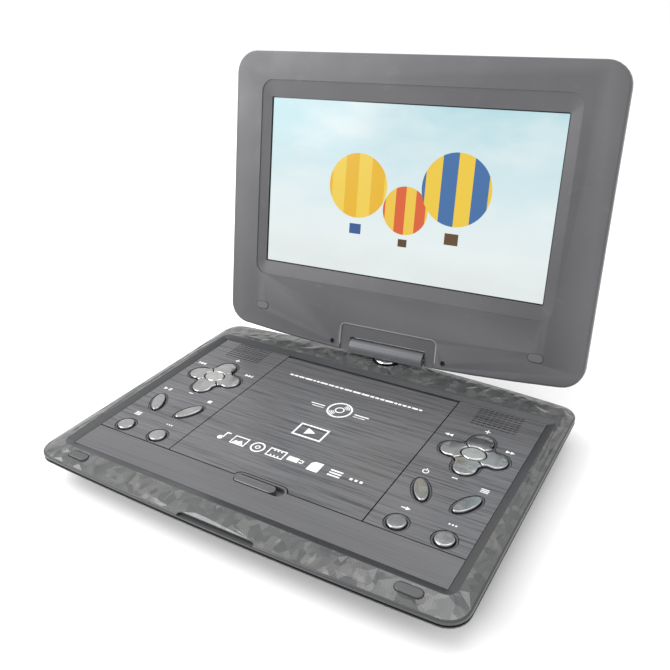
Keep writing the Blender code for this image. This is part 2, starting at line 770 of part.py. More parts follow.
def build_rubber():
    for name, (x, y) in feet_places().items():
        top = UNDERSIDE_Z + FOOT_SINK - GAP
        edge = circle(x, y, FOOT_RADIUS)
        add(name, loft([(circle(x, y, FOOT_RADIUS - 0.5), 0), (edge, 0.5), (edge, top)]), rubber())
    for name, (x, y) in bumper_places().items():
        low = bumper_floor() + GAP
        top = bumper_floor() + 1.2 + BUMPER_PROUD
        edge = stadium(x, y, BUMPER_LENGTH, BUMPER_WIDTH)
        rim = stadium(x, y, BUMPER_LENGTH - 0.8, BUMPER_WIDTH - 0.8)
        add(name, loft([(edge, low), (edge, top - 0.4), (rim, top)]), rubber())


# ---------------------------------------------------------------- lid and latch

def build_lid():
    plan = lid_plan()
    back = DECK_FRONT + LID_BACK
    edge = [(back + OVERCUT, DECK_Z - 1.0 - OVERCUT), (back + OVERCUT, DECK_Z + OVERCUT)]
    edge.append((back - 1.0 - OVERCUT, DECK_Z + OVERCUT))
    bevel = prism(edge, -LID_HALF_WIDTH - OVERCUT, LID_HALF_WIDTH + OVERCUT, sideways)
    extra = []
    for sign in (-1, 1):
        near, far = sorted((sign * (LID_HALF_WIDTH - 5.0), sign * (LID_HALF_WIDTH - 0.2)))
        ear_top = LID_UNDER + 0.6
        extra.append(box(near, LID_AXIS_Y - 2.6, LID_AXIS_Z - 1.6, far, LID_AXIS_Y + 2.6, ear_top))
        ends = sorted((sign * (LID_HALF_WIDTH - 1.5), sign * (LID_HALF_WIDTH + 2.6)))
        extra.append(prism(circle(LID_AXIS_Y, LID_AXIS_Z, LID_PIN_RADIUS, 12), *ends, sideways))
    catch_x, catch_y = catch_place()
    extra.append(box(catch_x, catch_y, LID_UNDER - 3.6, catch_x + 4.0, catch_y + 1.8, LID_UNDER + 0.6))
    lid = add("disc_lid", prism(plan, LID_UNDER, DECK_Z), brushed(), plus=extra, minus=[bevel])
    move_origin(lid, 0, LID_AXIS_Y, LID_AXIS_Z)


def catch_place():
    """Front left corner of the lid's catch, to the right of the latch."""
    return LATCH_X + LATCH_SLOT_LENGTH / 2 + 4.6, LATCH_Y + LATCH_SLOT_WIDTH / 2 + 2.1


def build_latch():
    top = DECK_Z + LATCH_PROUD
    button = stadium(LATCH_REST_X, LATCH_Y, LATCH_LENGTH, LATCH_WIDTH)
    rim = stadium(LATCH_REST_X, LATCH_Y, LATCH_LENGTH - 0.6, LATCH_WIDTH - 0.6)
    body = loft([(button, FLANGE_TOP - 0.5), (button, top - 0.3), (rim, top)])
    catch_x, catch_y = catch_place()
    half = LATCH_SLOT_LENGTH / 2
    deep = LATCH_SLOT_WIDTH / 2 + 0.9
    start = LATCH_X - half - 1.0
    plate = box(start, LATCH_Y - deep, FLANGE_UNDER, catch_x - 0.4, LATCH_Y + deep, FLANGE_TOP)
    arm = box(catch_x - 1.0, LATCH_Y, FLANGE_UNDER, catch_x + 9.0, catch_y - 0.6, FLANGE_TOP)
    finger = box(catch_x + 4.5, LATCH_Y + 1.0, FLANGE_UNDER, catch_x + 9.0, catch_y + 1.8, FLANGE_TOP)
    latch = add("lid_latch", body, brushed(), plus=[plate, arm, finger])
    move_origin(latch, LATCH_REST_X, LATCH_Y, DECK_Z)


# ---------------------------------------------------------------- disc drive

def build_drive():
    half = LID_HALF_WIDTH + SEAM + 2.6
    front = DECK_FRONT + LID_FRONT + 1.2
    back = LID_AXIS_Y - 4.5
    catch_x, catch_y = catch_place()
    flange = prism(rectangle(-half, front, half, back, 3.0), WELL_RIM - WELL_WALL, WELL_RIM)
    bowl = prism(circle(0, DISC_Y, WELL_RADIUS + WELL_WALL, 64), WELL_UNDER, WELL_RIM)
    hangers = []
    for y in rail_ends():
        for sign in (-1, 1):
            x = sign * RAIL_SPACING / 2
            hangers.append(box(x - 3.2, y - 2.0, RAIL_Z - 3.2, x + 3.2, y + 2.0, WELL_UNDER + 0.5))
    dish = prism(circle(0, DISC_Y, WELL_RADIUS, 64), WELL_FLOOR, WELL_RIM + OVERCUT)
    slot_front = DISC_Y - LENS_START - PICKUP_TRAVEL - LENS_RADIUS - 0.8
    slot = rectangle(-LENS_RADIUS - 0.8, slot_front, LENS_RADIUS + 0.8, DISC_Y - SEAT_RADIUS - 1.0)
    cuts = [dish, prism(slot, WELL_UNDER - OVERCUT, WELL_RIM)]
    cuts.append(prism(circle(0, DISC_Y, SPINDLE_RADIUS + 1.0, 20), WELL_UNDER - OVERCUT, WELL_RIM))
    near, far = LATCH_X - LATCH_SLOT_LENGTH / 2 - 2.6, catch_x + 16.0
    low, high = WELL_RIM - 4.0, WELL_RIM + OVERCUT
    cuts.append(box(near, front - 5.0, low, far, LATCH_Y + LATCH_SLOT_WIDTH / 2 + 1.3, high))
    cuts.append(box(catch_x - 1.5, front - 4.0, low + 0.2, far - 0.2, catch_y + 2.6, high + 0.2))
    for sign in (-1, 1):
        drill = circle(sign * RAIL_SPACING / 2, RAIL_Z, RAIL_RADIUS + GAP, 16)
        rear, fore = rail_ends()
        cuts.append(prism(drill, fore - 2.0 - OVERCUT, rear + 2.0 + OVERCUT, upright))
    add("disc_well", flange, inner_black(), plus=[bowl, *hangers], minus=cuts)

    can = [(SPINDLE_RADIUS, WELL_FLOOR + 2.0), (SPINDLE_RADIUS, WELL_UNDER - GAP)]
    can += [(MOTOR_RADIUS, WELL_UNDER - GAP), (MOTOR_RADIUS, TUB_FLOOR + 1.2)]
    add("spindle_motor", lathe(can, 0, DISC_Y), steel())

    seat_low = WELL_FLOOR + 0.5
    seat = seat_low + 1.4
    hub = [(SPINDLE_RADIUS + GAP, seat_low), (SEAT_RADIUS, seat_low), (SEAT_RADIUS, seat)]
    hub += [(HUB_RADIUS, seat), (HUB_RADIUS, seat + 1.3), (HUB_RADIUS - 0.7, seat + 2.0)]
    hub += [(SPINDLE_RADIUS + GAP, seat + 2.0)]
    table = add("turntable", turned(hub, 0, DISC_Y, 48), inner_black())
    move_origin(table, 0, DISC_Y, 0)

    for side, sign in (("left", -1), ("right", 1)):
        rod = circle(sign * RAIL_SPACING / 2, RAIL_Z, RAIL_RADIUS, 16)
        rear, fore = rail_ends()
        add(f"rail_{side}", prism(rod, fore - 2.0, rear + 2.0, upright), steel())
    build_pickup()
    build_sled_drive()


def lathe(profile, cx, cy, count=32):
    """Solid of revolution closed on its axis; profile is (radius, z) from one end to the other."""
    return loft([(circle(cx, cy, radius, count), z) for radius, z in profile])


def rail_ends():
    """Middles of the hangers at the back and the front ends of the rails."""
    rear = DISC_Y - MOTOR_RADIUS + 8.0
    fore = DISC_Y - LENS_START - PICKUP_TRAVEL - LENS_TO_FRONT - 2.4
    return rear, fore


def build_pickup():
    x = PICKUP_WIDTH / 2
    block = rectangle(-x, SLIDE_TOP - PICKUP_HEIGHT, x, SLIDE_TOP)
    bores = [circle(sign * RAIL_SPACING / 2, RAIL_Z, RAIL_RADIUS + GAP, 16) for sign in (-1, 1)]
    y = DISC_Y - LENS_START
    front = y - LENS_TO_FRONT
    lens = lathe([(LENS_RADIUS, SLIDE_TOP - 0.5), (LENS_RADIUS, WELL_FLOOR - 0.6)], 0, y, 24)
    low = rack_bottom()
    right = PINION_X - PINION_RADIUS - GAP
    rack = box(right - RACK_WIDTH, front, low, right, y + LENS_TO_RACK_END, low + RACK_HEIGHT)
    body = prism(block, front, y + LENS_TO_BACK, upright, holes=bores)
    pickup = add("pickup", body, inner_black(), plus=[lens, rack])
    move_origin(pickup, 0, y, RAIL_Z)


def rack_bottom():
    return SLIDE_TOP - PICKUP_HEIGHT + RACK_ABOVE_PICKUP_BOTTOM


def pinion_outline(cx, cy):
    root = PINION_RADIUS - 1.0
    corners = ((0, PINION_RADIUS), (0.35, PINION_RADIUS), (0.5, root), (0.85, root))
    points = []
    for tooth in range(PINION_TEETH):
        for part, radius in corners:
            t = 2 * pi * (tooth + part) / PINION_TEETH
            points.append((cx + radius * cos(t), cy + radius * sin(t)))
    return points


def build_sled_drive():
    """Pinion beside the pickup's rack, on the shaft of its own small motor."""
    low = rack_bottom()
    bore = circle(PINION_X, PINION_Y, 1.0 + GAP, 16)
    gear = prism(pinion_outline(PINION_X, PINION_Y), low, low + RACK_HEIGHT, holes=[bore])
    wheel = add("sled_pinion", gear, inner_black())
    move_origin(wheel, PINION_X, PINION_Y, low)
    body = low - GAP
    motor = [(5.4, TUB_FLOOR + GAP), (5.4, body), (1.0, body), (1.0, WELL_UNDER - GAP)]
    add("sled_motor", lathe(motor, PINION_X, PINION_Y, 24), steel())


# ---------------------------------------------------------------- keys

def build_keys():
    for name, (kind, x, y, turn) in key_places().items():
        proud = CROSS_PROUD if kind in ("lobe", "centre") else KEY_PROUD
        top = DECK_Z + proud
        shape = key_outline(kind, x, y, turn, 0)
        sections = [
            (shape, FLANGE_UNDER),
            (shape, top - KEY_EDGE),
            (key_outline(kind, x, y, turn, -KEY_EDGE), top),
        ]
        if kind != "centre":
            flange = key_outline(kind, x, y, turn, KEY_FLANGE)
            sections[:1] = [(flange, FLANGE_UNDER), (flange, FLANGE_TOP), (shape, FLANGE_TOP)]
        key = add(name, loft(sections), chrome())
        move_origin(key, x, y, top)


def build_boards():
    for side, sign in (("left", -1), ("right", 1)):
        x = sign * KEY_GROUP_X
        plan = rectangle(x - BOARD_HALF_WIDTH, BOARD_FRONT, x + BOARD_HALF_WIDTH, BOARD_BACK)
        add(f"keypad_board_{side}", prism(plan, BOARD_TOP - BOARD_THICKNESS, BOARD_TOP), board_green())
        y = DECK_FRONT + GRILLE_FROM_FRONT
        top = FLOOR_UNDER - GAP
        cone = [(SPEAKER_RADIUS, top), (SPEAKER_RADIUS, top - 1.5), (SPEAKER_RADIUS - 3.0, top - 3.0)]
        cone += [(SPEAKER_RADIUS - 6.0, top - 3.0), (SPEAKER_RADIUS - 6.0, top - SPEAKER_HEIGHT)]
        add(f"speaker_{side}", lathe(cone, x, y), inner_black())
    under = main_board_under()
    add("main_board", prism(rectangle(*main_board_plan()), under, under + BOARD_THICKNESS), board_green())
    x = -KEY_GROUP_X
    cells = rectangle(x - 12.0, BOARD_FRONT, x + 22.0, BOARD_BACK, 3.0)
    add("battery_pack", prism(cells, TUB_FLOOR + GAP, TUB_FLOOR + 10.5), inner_black())


# ---------------------------------------------------------------- sockets

def socket(name, y, wide, high, deep, finish, mouth, mouth_deep, tongues=()):
    """Socket body just inside the port wall; its mouth's tongues start a little way in."""
    face = -HALF_WIDTH + 1.0 + PORT_WALL + GAP
    body = box(face, y - wide / 2, PORT_Z - high / 2, face + deep, y + wide / 2, PORT_Z + high / 2)
    entry = prism(mouth, face - OVERCUT, face + 1.5, sideways)
    cavity = prism(mouth, face + 1.2, face + mouth_deep, sideways, holes=tongues)
    add(name, body, finish, minus=[entry, cavity])


def build_sockets():
    pin = circle(DC_Y, PORT_Z, 1.0, 12)
    mouth = circle(DC_Y, PORT_Z, 2.9, 20)
    socket("dc_inlet", DC_Y, 9.0, 9.0, 13.0, inner_black(), mouth, 10.0, [pin])
    mouth = circle(PHONES_Y, PORT_Z, 1.8, 16)
    socket("phones_jack", PHONES_Y, 6.4, 6.4, 13.0, inner_black(), mouth, 11.0)
    mouth = rectangle(USB_Y - 6.2, PORT_Z - 2.5, USB_Y + 6.2, PORT_Z + 2.5)
    blade = rectangle(USB_Y - 5.6, PORT_Z, USB_Y + 5.6, PORT_Z + 1.8)
    socket("usb_port", USB_Y, 13.4, 6.0, 14.0, steel(), mouth, 12.4, [blade])
    mouth = rectangle(CARD_Y - 12.3, PORT_Z - 1.2, CARD_Y + 12.3, PORT_Z + 1.2)
    socket("card_slot", CARD_Y, 26.6, 3.6, 22.0, steel(), mouth, 20.0)


# ---------------------------------------------------------------- hinge

def build_hinge(swivel):
    """Pieces that turn with the turret; their places are from the hinge's own point."""
    top = TURRET_TOP - HINGE_Z
    step = TURRET_FLOOR + GAP - HINGE_Z
    under = FLOOR_UNDER - HINGE_Z
    bottom = under - 2.6
    post = [(NECK_BORE, top), (TURRET_RADIUS - 0.6, top), (TURRET_RADIUS, top - 0.6)]
    post += [(TURRET_RADIUS, step), (NECK_RADIUS, step), (NECK_RADIUS, bottom), (NECK_BORE, bottom)]
    add("turret_post", turned(post, 0, 0, 40), chrome(), swivel)
    hole = NECK_RADIUS + GAP
    nut = [(hole, under - GAP), (8.6, under - GAP), (8.6, under - 2.0), (hole, under - 2.0)]
    add("turret_nut", turned(nut, 0, 0, 32), steel(), swivel)

    foot = top + GAP
    r = BARREL_RADIUS
    section = arc(0, 0, r, 0, 180, 20)
    section += [(-r, foot + 0.8), (0.8 - r, foot), (r - 0.8, foot), (r, foot + 0.8)]
    bore = circle(0, 0, SHAFT_RADIUS + GAP, 16)
    half = BARREL_LENGTH / 2
    add("hinge_barrel", prism(section, -half, half, sideways, holes=[bore]), plastic(), swivel)
    shaft = circle(0, 0, SHAFT_RADIUS, 16)
    add("hinge_shaft", prism(shaft, -SHAFT_LENGTH / 2, SHAFT_LENGTH / 2, sideways), steel(), swivel)


# ---------------------------------------------------------------- screen

def depth(value):
    """World Y, from the hinge axis, of a depth behind the screen's face."""
    return FACE_Y + value


def hinge_slot():
    low = -SCREEN_BELOW - SCREEN_BOW
    outline = rectangle(-SLOT_HALF_WIDTH, low, SLOT_HALF_WIDTH, SLOT_TOP)
    return prism(outline, depth(-OVERCUT), depth(SCREEN_DEPTH + OVERCUT), upright)


def screen_bumper_places():
    return {
        "bumper_screen_left": (-SCREEN_BUMPER_X, SCREEN_BUMPER_Z),
        "bumper_screen_right": (SCREEN_BUMPER_X, SCREEN_BUMPER_Z),
    }


def build_screen(tilt):
    """Pieces that turn about the hinge shaft; their places are from the shaft's middle."""
    wall = SCREEN_WALL
    sections = [
        (screen_outline(1.5), depth(0)),
        (screen_outline(0.5), depth(0.5)),
        (screen_outline(0), depth(1.5)),
        (screen_outline(0), depth(BEZEL_DEPTH)),
        (screen_outline(wall), depth(BEZEL_DEPTH)),
        (screen_outline(wall), depth(BEZEL_PLATE)),
    ]
    half = BORDER_HALF_WIDTH
    border = rectangle(-half, BORDER_BOTTOM, half, BORDER_TOP, BORDER_CORNER, 6)
    window = rectangle(-WINDOW_HALF_WIDTH, WINDOW_BOTTOM, WINDOW_HALF_WIDTH, WINDOW_TOP, 1.2, 6)
    steps = [(border, depth(-OVERCUT)), (border, depth(BORDER_STEP)), (window, depth(WINDOW_SINK))]
    slope = loft(steps, upright)
    through = prism(offset(window, -0.2), depth(0), depth(BEZEL_PLATE + OVERCUT), upright)
    low = -SCREEN_BELOW - SCREEN_BOW
    pocket_plan = rectangle(-POCKET_HALF_WIDTH, low, POCKET_HALF_WIDTH, POCKET_TOP, 4.0)
    pocket = prism(pocket_plan, depth(-OVERCUT), depth(POCKET_SINK), upright)
    bosses, bores = [], []
    for sign in (-1, 1):
        near, far = sorted((sign * (SLOT_HALF_WIDTH + 0.3), sign * (SHAFT_LENGTH / 2 + 3.0)))
        bosses.append(box(near, depth(BEZEL_PLATE - 0.5), -3.0, far, depth(BEZEL_DEPTH), 2.8))
        ends = sorted((sign * (SLOT_HALF_WIDTH - OVERCUT), sign * (SHAFT_LENGTH / 2 + 0.5)))
        bores.append(prism(circle(0, 0, SHAFT_RADIUS + GAP, 16), *ends, sideways))
        screw = circle(sign * SCREEN_SCREW_X, SCREEN_SCREW_Z, 1.9, 16)
        bores.append(prism(screw, depth(-OVERCUT), depth(BEZEL_PLATE - 1.2), upright))
    for x, z in screen_bumper_places().values():
        well = stadium(x, z, SCREEN_BUMPER_LENGTH + 2 * GAP, BUMPER_WIDTH + 2 * GAP)
        bores.append(prism(well, depth(-OVERCUT), depth(1.2), upright))
    cuts = [slope, through, pocket, hinge_slot(), *bores]
    add("screen_bezel", loft(sections, upright), plastic(), tilt, plus=bosses, minus=cuts)

    seam = BEZEL_DEPTH + GAP
    back_sections = [
        (screen_outline(36.0), depth(SCREEN_DEPTH - wall)),
        (screen_outline(21.0), depth(SCREEN_DEPTH - wall - 1.3)),
        (screen_outline(9.5), depth(SCREEN_DEPTH - wall - 3.6)),
        (screen_outline(wall), depth(seam + 0.4)),
        (screen_outline(wall), depth(seam)),
        (screen_outline(0.0), depth(seam)),
        (screen_outline(0.6), depth(seam + 0.9)),
        (screen_outline(8.0), depth(SCREEN_DEPTH - 3.6)),
        (screen_outline(20.0), depth(SCREEN_DEPTH - 1.2)),
        (screen_outline(36.0), depth(SCREEN_DEPTH)),
    ]
    add("screen_back", loft(back_sections, upright), plastic(), tilt, minus=[hinge_slot()])

    half = WINDOW_HALF_WIDTH + LCD_MARGIN
    low, high = WINDOW_BOTTOM - LCD_MARGIN, WINDOW_TOP + LCD_MARGIN
    panel = box(-half, depth(LCD_DEPTH), low, half, depth(LCD_DEPTH + LCD_THICKNESS), high)
    add("lcd_panel", panel, material("lcd_glass", (0.55, 0.75, 0.8), 0.15), tilt, smooth=False)
    middle = (WINDOW_BOTTOM + WINDOW_TOP) / 2
    behind = LCD_DEPTH + LCD_THICKNESS + GAP
    board = box(-45.0, depth(behind), middle - 22.0, 45.0, depth(behind + BOARD_THICKNESS), middle + 22.0)
    add("screen_board", board, board_green(), tilt, smooth=False)
    for name, (x, z) in screen_bumper_places().items():
        edge = stadium(x, z, SCREEN_BUMPER_LENGTH, BUMPER_WIDTH)
        rim = stadium(x, z, SCREEN_BUMPER_LENGTH - 0.6, BUMPER_WIDTH - 0.6)
        front = depth(-SCREEN_BUMPER_PROUD)
        shape = [(edge, depth(1.2 - GAP)), (edge, front + 0.3), (rim, front)]
        add(name, loft(shape, upright), rubber(), tilt)


def main():
    for leftover in list(bpy.data.objects):
        bpy.data.objects.remove(leftover)
    build_bottom_shell()
    build_top_housing()
    build_panels()
    build_rubber()
    build_lid()
    build_latch()
    build_drive()
    build_keys()
    build_boards()
    build_sockets()
    swivel = axis_empty("swivel_axis", (0, HINGE_Y, HINGE_Z))
    swivel.rotation_euler.z = radians(SWIVEL_AT_REST)
    build_hinge(swivel)
    tilt = axis_empty("tilt_axis", (0, 0, 0), swivel)
    tilt.rotation_euler.x = -radians(LEAN_AT_REST)
    build_screen(tilt)
    bpy.context.view_layer.update()


main()
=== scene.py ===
import json
import random
from math import atan2, cos, pi, radians, sin, sqrt

import bmesh
import bpy
from mathutils import Matrix, Vector
from mathutils.geometry import delaunay_2d_cdt


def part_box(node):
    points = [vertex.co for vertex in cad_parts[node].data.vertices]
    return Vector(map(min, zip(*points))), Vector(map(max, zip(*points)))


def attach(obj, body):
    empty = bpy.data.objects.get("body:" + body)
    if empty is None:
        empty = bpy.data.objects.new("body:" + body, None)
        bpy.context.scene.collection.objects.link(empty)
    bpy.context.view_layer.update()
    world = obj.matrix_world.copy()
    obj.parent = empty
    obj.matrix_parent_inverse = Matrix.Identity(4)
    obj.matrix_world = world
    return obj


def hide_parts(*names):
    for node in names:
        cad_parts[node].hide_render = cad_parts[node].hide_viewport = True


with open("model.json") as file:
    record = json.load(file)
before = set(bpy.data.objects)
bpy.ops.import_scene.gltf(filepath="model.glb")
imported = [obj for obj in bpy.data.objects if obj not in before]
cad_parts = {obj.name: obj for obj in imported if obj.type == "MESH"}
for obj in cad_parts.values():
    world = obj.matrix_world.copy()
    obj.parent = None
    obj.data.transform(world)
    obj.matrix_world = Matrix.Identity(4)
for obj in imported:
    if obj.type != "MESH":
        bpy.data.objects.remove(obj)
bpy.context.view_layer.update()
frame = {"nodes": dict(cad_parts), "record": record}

MM = 0.001
nodes = frame["nodes"]
joints = {j["name"]: j for j in frame["record"]["behaviour"]["joints"]}


def mm_box(node):
    lo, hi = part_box(node)
    return [c / MM for c in lo], [c / MM for c in hi]


# ------------------------------------------------------------------ places, in millimetres

GAP = 0.3  # round the deck's panels
FLARE = 1.6  # of each side of the base, from back to front
FLARE_AT_WIDEST = 1.48  # as much of it as the shell has where it is widest
FRAME_FALL = 1.6  # from the frame's inner edge to its outer edge
UNDERSIDE_Z = 1.2

deck_lo, deck_hi = mm_box("front_panel")
DECK_Z = deck_hi[2]
DECK_FRONT = deck_lo[1] - GAP
DECK_HALF = deck_hi[0] + GAP
panel_lo, panel_hi = mm_box("key_panel_right")
DECK_BACK = panel_hi[1] + GAP
shell_lo, shell_hi = mm_box("bottom_shell")
HALF_WIDTH = shell_hi[0] - FLARE_AT_WIDEST  # at the back
FRONT = shell_lo[1]
BACK = -FRONT
INNER_Z = mm_box("top_housing")[1][2]
OUTER_Z = INNER_Z - FRAME_FALL
HINGE = Vector([c / MM for c in joints["screen_tilt"]["pos_m"]])
TILT_AXIS = Vector(joints["screen_tilt"]["axis"]).normalized()
LEAN = radians(12.33)  # of the screen, backwards
FACE_DEPTH = -3.6  # of the screen's face; negative, as it lies in front of the hinge's axis
KEY_GROUP_X = 100.6

U = -TILT_AXIS
REAR = Vector((0, 0, 1)).cross(U).normalized()
UP = Vector((0, 0, 1)) * cos(LEAN) + REAR * sin(LEAN)
IN = REAR * cos(LEAN) - Vector((0, 0, 1)) * sin(LEAN)


def on_screen(u, v, d):
    """Point at u to the right of the hinge, v up the screen's face and d behind that face."""
    return HINGE + U * u + UP * v + IN * (FACE_DEPTH + d)


def on_deck(x, y, z):
    return Vector((x, y, z))


# ------------------------------------------------------------------ mesh making

def make(name, bm, body, material, smooth=30):
    bmesh.ops.recalc_face_normals(bm, faces=bm.faces)
    mesh = bpy.data.meshes.new(name)
    bm.to_mesh(mesh)
    bm.free()
    piece = bpy.data.objects.new(name, mesh)
    bpy.context.collection.objects.link(piece)
    mesh.materials.append(material)
    if smooth:
        mesh.shade_smooth()
        mesh.set_sharp_from_angle(angle=radians(smooth))
    if body:
        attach(piece, body)
    return piece


def loft(sections, place=on_deck, closed=False, cap=True):
    """Solid through outlines [(points, level), ...]; closed joins the last one to the first."""
    bm = bmesh.new()
    rings = [[bm.verts.new(place(a, b, z) * MM) for a, b in points] for points, z in sections]
    pairs = list(zip(rings, rings[1:]))
    if closed:
        pairs.append((rings[-1], rings[0]))
    for low, high in pairs:
        for i in range(len(low)):
            j = (i + 1) % len(low)
            bm.faces.new((low[i], low[j], high[j], high[i]))
    if cap and not closed:
        bm.faces.new(rings[0])
        bm.faces.new(rings[-1])
    return bm


def plate(bm, points, low, high, place=on_deck):
    """Add one thin closed plate to a mesh."""
    rings = [[bm.verts.new(place(a, b, z) * MM) for a, b in points] for z in (low, high)]
    for i in range(len(points)):
        j = (i + 1) % len(points)
        bm.faces.new((rings[0][i], rings[0][j], rings[1][j], rings[1][i]))
    bm.faces.new(rings[0])
    bm.faces.new(rings[1])


def circle(cx, cy, r, count=32):
    return [(cx + r * cos(2 * pi * i / count), cy + r * sin(2 * pi * i / count)) for i in range(count)]


def arc(cx, cy, r, start, end, count):
    turns = [radians(start + (end - start) * i / count) for i in range(count + 1)]
    return [(cx + r * cos(t), cy + r * sin(t)) for t in turns]


def stadium(cx, cy, length, width, count=10):
    r = width / 2
    reach = length / 2 - r
    return arc(cx + reach, cy, r, -90, 90, count) + arc(cx - reach, cy, r, 90, 270, count)


def rectangle(x0, y0, x1, y1, corner=0.0, count=5):
    if not corner:
        return [(x0, y0), (x1, y0), (x1, y1), (x0, y1)]
    return (
        arc(x1 - corner, y0 + corner, corner, -90, 0, count)
        + arc(x1 - corner, y1 - corner, corner, 0, 90, count)
        + arc(x0 + corner, y1 - corner, corner, 90, 180, count)
        + arc(x0 + corner, y0 + corner, corner, 180, 270, count)
    )


def ellipse(cx, cy, length, width, lean, count=56):
    c, s = cos(radians(lean)), sin(radians(lean))
    points = []
    for i in range(count):
        t = 2 * pi * i / count
        across, along = width / 2 * cos(t), length / 2 * sin(t)
        points.append((cx + across * c + along * s, cy - across * s + along * c))
    return points


# ------------------------------------------------------------------ materials

def new_material(name, colour, rough, metal=0.0):
    made = bpy.data.materials.new(name)
    made.use_nodes = True
    shader = made.node_tree.nodes["Principled BSDF"]
    shader.inputs["Base Color"].default_value = (*colour, 1)
    shader.inputs["Roughness"].default_value = rough
    shader.inputs["Metallic"].default_value = metal
    return made, made.node_tree, shader


def node(tree, kind, **values):
    made = tree.nodes.new(kind)
    for key, value in values.items():
        if key in made.inputs:
            made.inputs[key].default_value = value
        else:
            setattr(made, key, value)
    return made


def object_space(tree, scale):
    coordinates = tree.nodes.new("ShaderNodeTexCoord")
    mapping = node(tree, "ShaderNodeMapping", Scale=scale)
    tree.links.new(coordinates.outputs["Object"], mapping.inputs["Vector"])
    return mapping.outputs["Vector"]


def noise(tree, scale, detail=3.0, stretch=(1, 1, 1), rough=0.5):
    made = node(tree, "ShaderNodeTexNoise", Scale=scale, Detail=detail, Roughness=rough)
    tree.links.new(object_space(tree, stretch), made.inputs["Vector"])
    return made.outputs["Fac"]


def ramp(tree, source, *stops):
    """Value to colour or grey: stops are (position, grey or colour)."""
    made = tree.nodes.new("ShaderNodeValToRGB")
    elements = made.color_ramp.elements
    while len(elements) < len(stops):
        elements.new(0.5)
    for element, (place, colour) in zip(elements, stops):
        element.position = place
        element.color = (*colour, 1) if isinstance(colour, tuple) else (colour, colour, colour, 1)
    tree.links.new(source, made.inputs["Fac"])
    return made.outputs["Color"]


def mix(tree, kind, factor, a, b):
    made = tree.nodes.new("ShaderNodeMix")
    made.data_type = "RGBA"
    made.blend_type = kind
    for socket, value in ((made.inputs[0], factor), (made.inputs[6], a), (made.inputs[7], b)):
        if isinstance(value, (int, float)):
            socket.default_value = value
        elif isinstance(value, tuple):
            socket.default_value = (*value, 1)
        else:
            tree.links.new(value, socket)
    return made.outputs[2]


def add_bump(tree, shader, height, strength, distance):
    made = node(tree, "ShaderNodeBump", Strength=strength, Distance=distance)
    tree.links.new(height, made.inputs["Height"])
    previous = shader.inputs["Normal"].links
    if previous:
        tree.links.new(previous[0].from_socket, made.inputs["Normal"])
    tree.links.new(made.outputs["Normal"], shader.inputs["Normal"])


def edge_mask(tree, low=0.52, high=0.6):
    geometry = tree.nodes.new("ShaderNodeNewGeometry")
    return ramp(tree, geometry.outputs["Pointiness"], (low, 0.0), (high, 1.0))


def moulded(name, dark, light, rough=(0.42, 0.55), grain=0.25, wear_and_highlight=0.5, coat=0.0):
    """Moulded plastic: soft mottling, fine grain, faint scuffs, and edges painted lighter, partly as wear
    and partly as a painted highlight.
    """
    made, tree, shader = new_material(name, light, rough[0])
    cloud = noise(tree, 14, 4)
    base = ramp(tree, cloud, (0.3, dark), (0.7, light))
    bright = tuple(min(1.0, c * 2.0 + 0.02) for c in light)
    scuff = ramp(tree, noise(tree, 90, 5, (1, 6, 1)), (0.62, 0.0), (0.74, 1.0))
    base = mix(tree, "MIX", mix(tree, "MULTIPLY", 1.0, scuff, (0.12, 0.12, 0.12)), base, bright)
    # Painted highlight mixed with wear: pointy edges are lightened towards the bright tone.
    edges = mix(tree, "MULTIPLY", 1.0, edge_mask(tree), (wear_and_highlight, wear_and_highlight, wear_and_highlight))
    base = mix(tree, "MIX", edges, base, bright)
    tree.links.new(base, shader.inputs["Base Color"])
    gloss = ramp(tree, noise(tree, 40, 4), (0.3, rough[0]), (0.75, rough[1]))
    tree.links.new(gloss, shader.inputs["Roughness"])
    add_bump(tree, shader, noise(tree, 2600, 2), grain, 0.00006)
    shader.inputs["Coat Weight"].default_value = coat
    shader.inputs["Coat Roughness"].default_value = 0.18
    return made


def brushed(name, dark, light, streak=1.0, metal=0.35, rough=(0.3, 0.44)):
    """Panel with a fine grain that runs from side to side."""
    made, tree, shader = new_material(name, light, rough[0], metal)
    fine = noise(tree, 60, 6, (0.3, 16, 1), 0.75)
    coarse = noise(tree, 60, 4, (0.22, 11.0, 1), 0.65)
    base = ramp(tree, fine, (0.33, dark), (0.5, light), (0.72, tuple(c * 1.2 for c in light)))
    lines = ramp(tree, coarse, (0.34, 1.0 - 0.55 * streak), (0.44, 1.0))
    base = mix(tree, "MULTIPLY", 1.0, base, lines)
    tree.links.new(base, shader.inputs["Base Color"])
    gloss = ramp(tree, fine, (0.3, rough[1]), (0.7, rough[0]))
    tree.links.new(gloss, shader.inputs["Roughness"])
    add_bump(tree, shader, fine, 0.3 * streak, 0.00006)
    shader.inputs["Anisotropic"].default_value = 0.4
    return made


def metal(name, colour, rough, grain=0.1, scale=900, smudge=0.12):
    made, tree, shader = new_material(name, colour, rough, 1.0)
    film = noise(tree, 160, 4)
    tone = tuple(c * 0.8 for c in colour)
    tree.links.new(ramp(tree, film, (0.3, tone), (0.65, colour)), shader.inputs["Base Color"])
    gloss = ramp(tree, film, (0.3, rough), (0.8, min(1.0, rough + smudge)))
    tree.links.new(gloss, shader.inputs["Roughness"])
    add_bump(tree, shader, noise(tree, scale, 2), grain, 0.00004)
    return made


